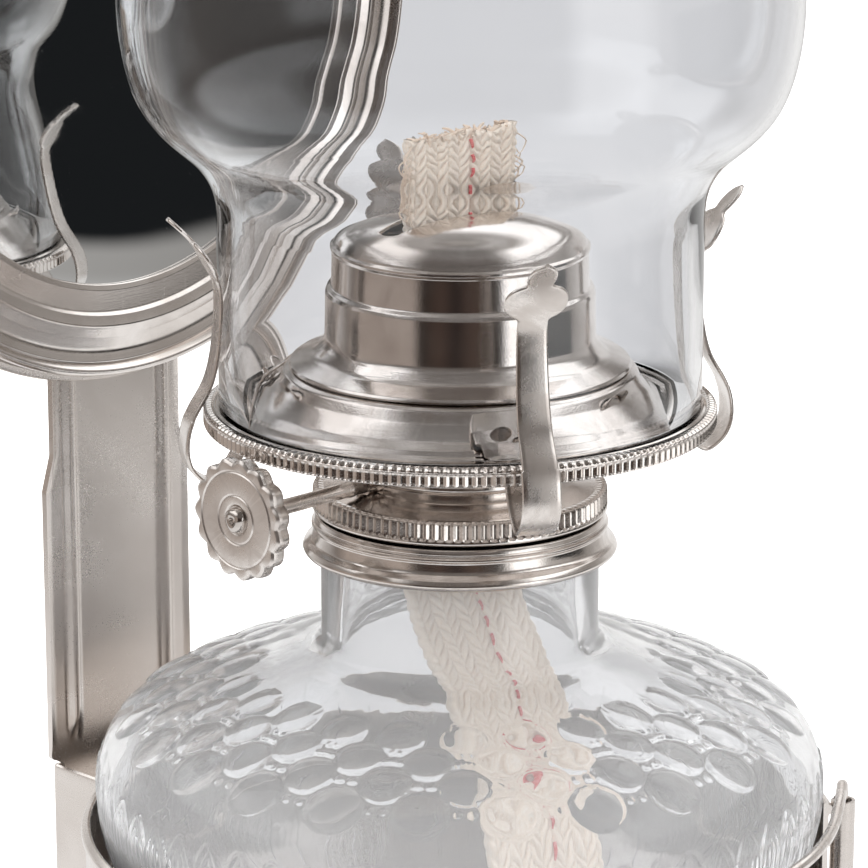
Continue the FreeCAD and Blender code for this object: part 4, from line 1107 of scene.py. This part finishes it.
def cotton():
    """Plied cotton: cream strands, shadowed valleys, fibres and a soft sheen."""
    if "plaited_cotton" in bpy.data.materials:
        return bpy.data.materials["plaited_cotton"]
    colours = bpy.context.scene.lamp_colours
    material, recipe, shader = new_material("plaited_cotton")
    place = object_place(recipe)
    bend = recipe.add("ShaderNodeNewGeometry").outputs["Pointiness"]
    hollow = recipe.ranged(bend, 0.50, 0.40)
    fibres = recipe.noise(recipe.add("ShaderNodeMapping", {"Vector": place, "Scale": (2.4, 2.4, 0.6)}).outputs[0],
                          2600.0, 3.0, 0.7)
    blotch = recipe.noise(place, 240.0, 3.0)
    tone = tuple(colours.cotton)
    colour = recipe.mixed(blotch, rgba(tone), rgba((tone[0] * 0.93, tone[1] * 0.88, tone[2] * 0.80)))
    colour = recipe.mixed(recipe.ranged(fibres, 0.35, 0.75), colour, rgba((0.93, 0.87, 0.79)))
    colour = recipe.mixed(recipe.math("MULTIPLY", hollow, 0.75), colour, rgba(tuple(colours.cotton_shadow)))
    relief = recipe.math("ADD", fibres, recipe.math("MULTIPLY", blotch, 0.4))
    recipe.feed(shader, {
        "Base Color": colour, "Roughness": recipe.ranged(fibres, 0.3, 0.8, 0.82, 0.98),
        "Normal": recipe.bumped(relief, 0.8, 0.00012),
        "Sheen Weight": 0.35, "Sheen Roughness": 0.6, "Specular IOR Level": 0.2,
    })
    return material


def red_thread():
    """Dyed marker thread, faded along its twist."""
    material, recipe, shader = new_material("marker_thread")
    place = object_place(recipe)
    twist = recipe.noise(recipe.add("ShaderNodeMapping", {"Vector": place, "Rotation": (0.6, 0.3, 0.0),
                                                          "Scale": (1, 1, 3)}).outputs[0], 1800.0, 2.0)
    tone = tuple(bpy.context.scene.lamp_colours.marker)
    colour = recipe.mixed(recipe.ranged(twist, 0.35, 0.7), rgba(tone), rgba((0.80, 0.28, 0.26)))
    recipe.feed(shader, {
        "Base Color": colour, "Normal": recipe.bumped(twist, 0.7, 0.0001),
        "Roughness": recipe.ranged(twist, 0.0, 1.0, 0.75, 0.95), "Sheen Weight": 0.3,
    })
    return material


class LAMP_OT_reflector(bpy.types.Operator):
    """Round mirror in its dished frame, the back plate and the ribbed stem"""

    bl_idname = "lamp.reflector"
    bl_label = "Mirror and stem"

    def execute(self, context):
        front = -76.5
        bezel = rounded([
            (48.0, front + 0.55), (48.0, front, 0.2), (52.9, front, 0.5), (53.5, front + 0.55, 0.6),
            (55.0, front + 1.15, 1.2), (56.6, front + 0.25, 1.2), (59.4, front - 0.5, 4.0),
            (61.3, front + 0.3, 1.5), (61.6, front + 1.2, 0.6), (62.5, front + 2.2, 0.9),
            (63.45, front + 1.3, 0.8), (63.5, front + 0.2, 0.4), (63.1, front - 2.0, 0.2),
            (62.5, front - 2.0, 0.2), (62.4, front + 0.3, 0.6), (61.6, front + 0.55, 0.6),
            (61.0, front + 0.75, 0.6), (59.4, front + 0.15, 3.0), (57.0, front + 0.75, 1.2),
            (55.0, front + 1.75, 1.2), (53.2, front + 1.1, 0.8), (52.6, front + 0.6, 0.5), (49.0, front + 0.75, 0.6),
        ], 0.4, steps=7, closed=True)
        shell = facing_mirror(turned(bezel, 384))
        piece("mirror_frame", [shell], nickel("frame"), "reflector", ["mirror_bezel"])
        glass = rounded([(0.3, -78.4), (51.9, -78.4), (52.0, -77.0, 0.1), (51.6, -76.6, 0.1), (0.3, -76.6)], 0.1,
                        closed=True)
        piece("mirror_pane", [facing_mirror(turned(glass, 192))], mirror_silver(), "reflector",
              ["mirror_glass"])
        back = rounded([
            (0.3, -79.7), (40.0, -79.7), (42.0, -79.9, 1.0), (44.0, -79.7, 1.0), (62.6, -79.7),
            (63.6, -80.0, 0.4), (64.6, -79.75, 0.4), (65.0, -79.35, 0.4), (64.6, -78.85, 0.4), (63.6, -78.8, 0.4),
            (62.6, -79.05, 0.4), (44.0, -79.0), (42.0, -79.2, 1.0), (40.0, -79.0), (0.3, -79.0),
        ], 0.3, closed=True)
        piece("mirror_back", [facing_mirror(turned(back, 256))], nickel("satin"), "reflector",
              ["mirror_back_plate"])
        self.stem()
        dress("mirror_backing", card())
        dress("mirror_rivets", nickel("satin"))
        return {"FINISHED"}

    def stem(self):
        heights = np.concatenate([np.linspace(1.1, 25.0, 14), np.linspace(25.4, 28.0, 6), np.linspace(29, 72, 30),
                                  np.linspace(73.0, 81.0, 18), np.linspace(82.5, 231.0, 90)])
        turn = np.linspace(0, np.pi / 2, 26)[1:-1]
        top = 231.8 + 14.2 * np.sin(turn)
        heights = np.concatenate([heights, top])
        wide = np.interp(heights, [1.1, 25.2, 26.6, 74.0, 80.0, 231.8], [13.2, 13.2, 16.0, 16.0, 14.2, 14.2])
        wide[-len(top):] = 14.2 * np.cos(turn)
        across = np.concatenate([np.linspace(-1, -0.96, 3), np.linspace(-0.93, 0.93, 61), np.linspace(0.96, 1, 3)])
        x = across[None, :] * wide[:, None]
        run = (band(heights, 28.0, 218.0, 6.0))[:, None]
        off = np.abs(np.abs(x) - 10.6)
        ribs = 1.15 * np.exp(-(off / 1.15) ** 4) * run
        fold = 0.28 * np.clip((np.abs(across) - 0.93) / 0.07, 0, 1)[None, :]
        fold = fold * band(heights, 27.0, 226.0, 3.0)[:, None]
        sway = 0.05 * np.sin(heights / 23.0)[:, None] * np.cos(x / 9.0)
        face_y = 81.3 - ribs - fold + sway
        back_y = 82.2 - ribs * 0.55 + 0 * x
        z = heights[:, None] + 0 * x
        ring = np.concatenate([np.stack([x, face_y, z], -1), np.stack([x, back_y, z], -1)[:, ::-1]], axis=1)
        stem = piece("stem_strip", [capped(ring)], nickel("satin"), "reflector", ["stem"],
                     sharp=40)
        ring = [(np.sin(a) * 3.0, np.cos(a) * 3.0) for a in np.linspace(0, 2 * np.pi, 40, endpoint=False)]
        rows = np.array([[(x, y, 236.0 + z) for x, z in ring] for y in (78.0, 85.0)])
        cutter_points, cutter_faces = net(rows)
        cutter_faces += [list(range(40)), [40 + i for i in range(40)][::-1]]
        cutter_mesh = bpy.data.meshes.new("hole_cutter")
        cutter_mesh.from_pydata((cutter_points * MM).tolist(), [], cutter_faces)
        cutter = bpy.data.objects.new("hole_cutter", cutter_mesh)
        bpy.context.scene.collection.objects.link(cutter)
        modifier = stem.modifiers.new("hanging_hole", "BOOLEAN")
        modifier.operation = "DIFFERENCE"
        modifier.object = cutter
        modifier.solver = "EXACT"
        bake_modifiers(stem)
        bpy.data.objects.remove(cutter)


def bake_modifiers(target):
    """Puts the result of an object's modifiers in its mesh."""
    bpy.context.view_layer.update()
    seen = target.evaluated_get(bpy.context.evaluated_depsgraph_get())
    mesh = bpy.data.meshes.new_from_object(seen)
    target.modifiers.clear()
    old = target.data
    target.data = mesh
    bpy.data.meshes.remove(old)
    mesh.set_sharp_from_angle(angle=math.radians(40))


def mirror_silver():
    """Silvered glass seen through its face: dark, sharp, with dust and a few wipe marks."""
    material, recipe, shader = new_material("silvered_glass")
    place = object_place(recipe)
    wiped = recipe.add("ShaderNodeMapping", {"Vector": place, "Rotation": (0, 0.6, 0), "Scale": (9, 1, 40)})
    wipes = recipe.noise(wiped.outputs[0], 6.0, 4.0, 0.6)
    dust = recipe.ranged(recipe.noise(place, 1500.0, 2.0), 0.70, 0.78)
    rough = recipe.math("ADD", recipe.ranged(wipes, 0.4, 0.8, 0.015, 0.05), recipe.math("MULTIPLY", dust, 0.15))
    colour = recipe.mixed(recipe.math("MULTIPLY", dust, 0.4), rgba((0.80, 0.815, 0.82)), rgba((0.5, 0.5, 0.5)))
    recipe.feed(shader, {"Metallic": 1.0, "Base Color": colour, "Roughness": rough,
                         "Normal": recipe.bumped(recipe.noise(place, 30.0), 1.0, 0.00001)})
    return material


def card():
    """Grey pressed card with short fibres."""
    material, recipe, shader = new_material("grey_card")
    fibres = recipe.noise(object_place(recipe), 900.0, 4.0, 0.7)
    recipe.feed(shader, {
        "Base Color": recipe.mixed(fibres, rgba((0.26, 0.23, 0.20)), rgba((0.48, 0.45, 0.40))),
        "Roughness": recipe.ranged(fibres, 0, 1, 0.8, 0.98),
    })
    return material


def plaster():
    """Set plaster cement, chalky, with pinholes whose darker colour is painted shade."""
    material, recipe, shader = new_material("set_plaster")
    place = object_place(recipe)
    chalk = recipe.noise(place, 500.0, 4.0, 0.7)
    holes = recipe.ranged(recipe.noise(place, 2200.0), 0.66, 0.74)
    colour = recipe.mixed(chalk, rgba((0.78, 0.75, 0.68)), rgba((0.90, 0.88, 0.83)))
    # painted shade: the pinholes are darkened in the base colour as well as sunk by the bump
    recipe.feed(shader, {
        "Base Color": recipe.mixed(holes, colour, rgba((0.45, 0.42, 0.36))), "Roughness": 0.95,
        "Normal": recipe.bumped(recipe.math("SUBTRACT", chalk, holes), 1.0, 0.0001),
    })
    return material


class LAMP_OT_holder(bpy.types.Operator):
    """Cup, rolled band and lugs, socket, arm and retaining wire"""

    bl_idname = "lamp.holder"
    bl_label = "Holder"

    def execute(self, context):
        cup_path = rounded([
            (0.3, 0.4), (30.0, 0.4), (31.0, 1.0, 0.8), (33.0, 1.0, 0.8), (34.0, 0.4), (46.0, 0.45, 2.0),
            (49.4, 1.9, 2.5), (54.0, 6.8, 3.0), (58.4, 13.6, 3.0), (58.4, 18.6),
        ], 1.0, steps=7)
        cup = turned(thickened(cup_path, 0.8), 256)
        piece("cup_pan", [cup], nickel("satin"), "holder", ["holder_cup"])
        self.band()
        self.socket()
        for node in ("band_rivets", "bracket_arm", "arm_rivets", "socket_spring"):
            dress(node, nickel("satin"))
        dress("retaining_wire", nickel("wire"))
        dress("collar_plaster", plaster())
        for node in ("wick_tube", "tube_plate"):
            dress(node, brass())
        return {"FINISHED"}

    def band(self):
        """The band with beaded edges, whose two ends are rolled into tubes for the wire."""
        section = rounded([
            (58.85, 12.0), (59.3, 12.0, 0.2), (60.3, 12.5, 0.5), (60.4, 13.3, 0.6), (59.75, 14.1, 0.5),
            (59.7, 14.8, 0.4), (59.7, 31.0), (59.75, 31.6, 0.4), (60.4, 32.3, 0.5), (60.3, 33.1, 0.5),
            (59.3, 33.6, 0.3), (58.85, 33.6, 0.2),
        ], 0.3, steps=4, closed=True)
        angle = np.radians(np.linspace(48.6, 360 - 48.6, 300))
        rows = spun(section[:, :1] + 0 * angle, section[:, 1:2] + 0 * angle, angle[None, :])
        points, faces = net(rows, wrap_rows=True, wrap_columns=False)
        columns = len(angle)
        faces.append([i * columns for i in range(len(section))])
        faces.append([i * columns + columns - 1 for i in range(len(section))][::-1])
        piece("band_strip", [(points, faces)], nickel("satin"), "holder", ["holder_band"])
        lugs = []
        for side in (-1, 1):
            plan = []
            for turn in np.linspace(-205, 118, 60):
                swell = 1.62 + 0.0009 * (turn + 205)
                a = math.radians(turn)
                plan.append((swell * math.sin(a), -62.2 - swell * math.cos(a)))
            curl = thickened(np.array(plan), 0.55)
            levels = [12.0, 12.15, 33.35, 33.6]
            shrink = [0.10, 0.0, 0.0, 0.10]
            rows = [np.column_stack([side * curl[:, 0], curl[:, 1], np.full(len(curl), level)]) for level in levels]
            rows = np.array(rows)
            for row, pull in zip(rows, shrink):
                row[:, :2] += (np.array([0, -62.2]) - row[:, :2]) * pull * 0.12
            points, faces = net(rows, flip=side < 0)
            count = len(curl)
            for base, turned_over in ((0, True), (3 * count, False)):
                for i in range(len(plan) - 1):
                    j = count - 4 - i
                    quad = [base + i, base + i + 1, base + j - 1, base + j]
                    faces.append(quad if turned_over == (side > 0) else quad[::-1])
            lugs.append(placed((points, faces), 50.0 * side))
        piece("lug_tubes", lugs, nickel("satin"), "holder", ["rolled_lugs"], sharp=45)

    def socket(self):
        """The folded box that takes the stem, with a rolled mouth."""
        corner = []
        half_x, half_y, mid_y = 14.4, 7.2, 76.2
        for cx, cy, start in ((1, 1, 0), (-1, 1, 90), (-1, -1, 180), (1, -1, 270)):
            for turn in np.linspace(start, start + 90, 7):
                a = math.radians(turn)
                corner.append((cx * (half_x - 1.2), cy * (half_y - 1.2), math.cos(a), math.sin(a)))
        corner = np.array(corner)
        rows = []
        levels = [(1.2, 0.0), (1.2, 1.0), (1.2, 23.0), (1.2, 24.2), (1.1, 24.7), (0.8, 25.0), (0.5, 24.8),
                  (0.4, 24.3), (0.4, 23.0), (0.4, 1.0), (0.4, 0.8)]
        for reach, level in levels:
            x = corner[:, 0] + corner[:, 2] * reach
            y = corner[:, 1] + corner[:, 3] * reach + mid_y
            rows.append(np.column_stack([x, y, np.full(len(x), level)]))
        piece("socket_box", [capped(np.array(rows))], nickel("satin"), "holder", ["stem_socket"])


# ---- stage -------------------------------------------------------------------------------------------
class LAMP_OT_stage(bpy.types.Operator):
    """Camera, pale floor, soft lights and the studio round the lamp"""

    bl_idname = "lamp.stage"
    bl_label = "Stage"

    def execute(self, context):
        scene = context.scene
        scene.view_settings.view_transform = "Standard"
        scene.view_settings.look = "None"
        data = bpy.data.cameras.new("view")
        data.lens = 173.3
        data.sensor_width = 36.0
        data.clip_start = 0.01
        camera = bpy.data.objects.new("view", data)
        scene.collection.objects.link(camera)
        camera.location = (-0.4535, -0.4369, 0.2662)
        aim = Vector((-0.00284, 0.00291, 0.0964)) - camera.location
        camera.rotation_euler = aim.to_track_quat("-Z", "Y").to_euler()
        scene.camera = camera
        self.floor(scene)
        self.world(scene)
        self.lights(scene)
        return {"FINISHED"}

    def floor(self, scene):
        mesh = bpy.data.meshes.new("floor")
        angle = np.linspace(0, 2 * np.pi, 96, endpoint=False)
        rows = np.array([spun(np.full(96, r), np.zeros(96), angle) for r in (0.01, 0.4, 1.0, 2.0, 4.0, 7.0)])
        points, faces = net(rows, flip=True)
        faces.append(list(range(96)))
        mesh.from_pydata(points.tolist(), [], faces)
        floor = bpy.data.objects.new("floor", mesh)
        scene.collection.objects.link(floor)
        material, recipe, shader = new_material("pale_floor")
        place = object_place(recipe)
        grain = recipe.noise(place, 700.0, 3.0)
        pale = recipe.mixed(grain, rgba((0.80, 0.80, 0.80)), rgba((0.85, 0.85, 0.85)))
        walls = recipe.add("ShaderNodeGroup", {"Direction": place}, node_tree=walls_group()).outputs
        reach = recipe.add("ShaderNodeVectorMath", {0: place}, operation="LENGTH").outputs["Value"]
        near = recipe.ranged(reach, 0.22, 0.34, 1.0, 0.0)
        far = recipe.math("MULTIPLY", recipe.ranged(reach, 0.37, 0.43), walls["Aside"])
        dim = recipe.mixed(far, walls["Color"], rgba((0.012, 0.013, 0.014)))
        mirrored = recipe.mixed(near, dim, rgba((1.0, 1.0, 1.0)))
        path = recipe.add("ShaderNodeLightPath").outputs
        bounced = recipe.math("GREATER_THAN", path["Glossy Depth"], 0.5)
        through = recipe.math("GREATER_THAN", path["Transmission Depth"], 0.5)
        changed = recipe.math("MAXIMUM", bounced, through)
        aside = recipe.ranged(walls["Across"], 0.12, 0.55)
        seen = recipe.mixed(aside, rgba((0.80, 0.80, 0.815)), rgba((0.34, 0.34, 0.345)))
        glow = recipe.mixed(bounced, recipe.mixed(through, rgba((0.30, 0.30, 0.30)), seen), mirrored)
        recipe.feed(shader, {
            "Base Color": recipe.mixed(changed, pale, rgba((0.0, 0.0, 0.0))), "Emission Color": glow,
            "Emission Strength": 1.0, "Roughness": 0.9, "Specular IOR Level": 0.0,
        })
        mesh.materials.append(material)

    def world(self, scene):
        world = bpy.data.worlds.new("studio")
        world.use_nodes = True
        scene.world = world
        recipe = Recipe(world.node_tree)
        background = world.node_tree.nodes["Background"]
        toward = recipe.add("ShaderNodeTexCoord").outputs["Generated"]
        walls = recipe.add("ShaderNodeGroup", {"Direction": toward}, node_tree=walls_group()).outputs
        height = recipe.add("ShaderNodeSeparateXYZ", {0: toward}).outputs[2]
        ceiling = recipe.stops(recipe.ranged(height, 0.0, 1.0, smooth=False), [
            (0.0, (0.32, 0.30, 0.28, 1)), (0.42, (0.30, 0.28, 0.265, 1)), (0.50, (1.5, 1.5, 1.5, 1)),
            (0.78, (1.7, 1.7, 1.7, 1)), (0.88, (0.45, 0.43, 0.41, 1)), (1.0, (0.36, 0.34, 0.32, 1)),
        ])
        ceiling = recipe.mixed(walls["Front"], ceiling, rgba((0.17, 0.155, 0.145)))
        studio = recipe.mixed(recipe.ranged(height, 0.18, 0.38), walls["Color"], ceiling)
        path = recipe.add("ShaderNodeLightPath").outputs
        behind = recipe.mixed(recipe.ranged(walls["Across"], 0.30, 0.85), rgba((1.0, 1.0, 1.0)),
                              rgba((0.34, 0.34, 0.345)))
        bounced = recipe.math("GREATER_THAN", path["Glossy Depth"], 0.5)
        soft = recipe.math("GREATER_THAN", path["Diffuse Depth"], 0.5)
        sky = recipe.mixed(recipe.ranged(height, -0.2, 0.6), rgba((1.15, 1.13, 1.12)), rgba((2.1, 2.08, 2.06)))
        shown = recipe.mixed(bounced, behind, studio)
        shown = recipe.mixed(soft, shown, sky)
        shown = recipe.mixed(path["Is Camera Ray"], shown, rgba((1.0, 1.0, 1.0)))
        recipe.tree.links.new(shown, background.inputs["Color"])
        background.inputs["Strength"].default_value = 1.0

    def lights(self, scene):
        for name, place, size, power in (
            ("key_softbox", (-0.75, -0.15, 0.85), (0.5, 0.7), 2.6),
            ("right_softbox", (0.45, -0.75, 0.55), (0.25, 0.6), 1.6),
            ("top_softbox", (0.1, 0.25, 1.1), (0.8, 0.5), 2.6),
        ):
            data = bpy.data.lights.new(name, "AREA")
            data.shape = "RECTANGLE"
            data.size, data.size_y = size
            data.energy = power
            lamp = bpy.data.objects.new(name, data)
            scene.collection.objects.link(lamp)
            lamp.visible_glossy = False
            lamp.visible_transmission = False
            lamp.location = place
            lamp.rotation_euler = (Vector((0, 0, 0.1)) - Vector(place)).to_track_quat("-Z", "Y").to_euler()


# ---- add-on ------------------------------------------------------------------------------------------
OPERATORS = (
    LAMP_OT_stage, LAMP_OT_font, LAMP_OT_chimney, LAMP_OT_collar, LAMP_OT_gallery, LAMP_OT_deflector,
    LAMP_OT_prongs, LAMP_OT_winder, LAMP_OT_wick, LAMP_OT_reflector, LAMP_OT_holder,
)


class LAMP_PT_sidebar(bpy.types.Panel):
    """Lists the lamp's pieces with their sizes and colours."""

    bl_idname = "LAMP_PT_sidebar"
    bl_label = "Kerosene Wall Lamp"
    bl_space_type = "VIEW_3D"
    bl_region_type = "UI"
    bl_category = "Lamp"

    def draw(self, context):
        layout = self.layout
        for maker in OPERATORS:
            layout.operator(maker.bl_idname)
        for holder in (context.scene.lamp_sizes, context.scene.lamp_colours):
            box = layout.box()
            for name in holder.__annotations__:
                box.prop(holder, name)


CLASSES = (LampSizes, LampColours, *OPERATORS, LAMP_PT_sidebar)


def register():
    for made in CLASSES:
        bpy.utils.register_class(made)
    bpy.types.Scene.lamp_sizes = PointerProperty(type=LampSizes)
    bpy.types.Scene.lamp_colours = PointerProperty(type=LampColours)


def unregister():
    del bpy.types.Scene.lamp_colours
    del bpy.types.Scene.lamp_sizes
    for made in reversed(CLASSES):
        bpy.utils.unregister_class(made)


def main():
    register()
    for maker in OPERATORS:
        group_name, action = maker.bl_idname.split(".")
        getattr(getattr(bpy.ops, group_name), action)()


if __name__ == "__main__":
    main()
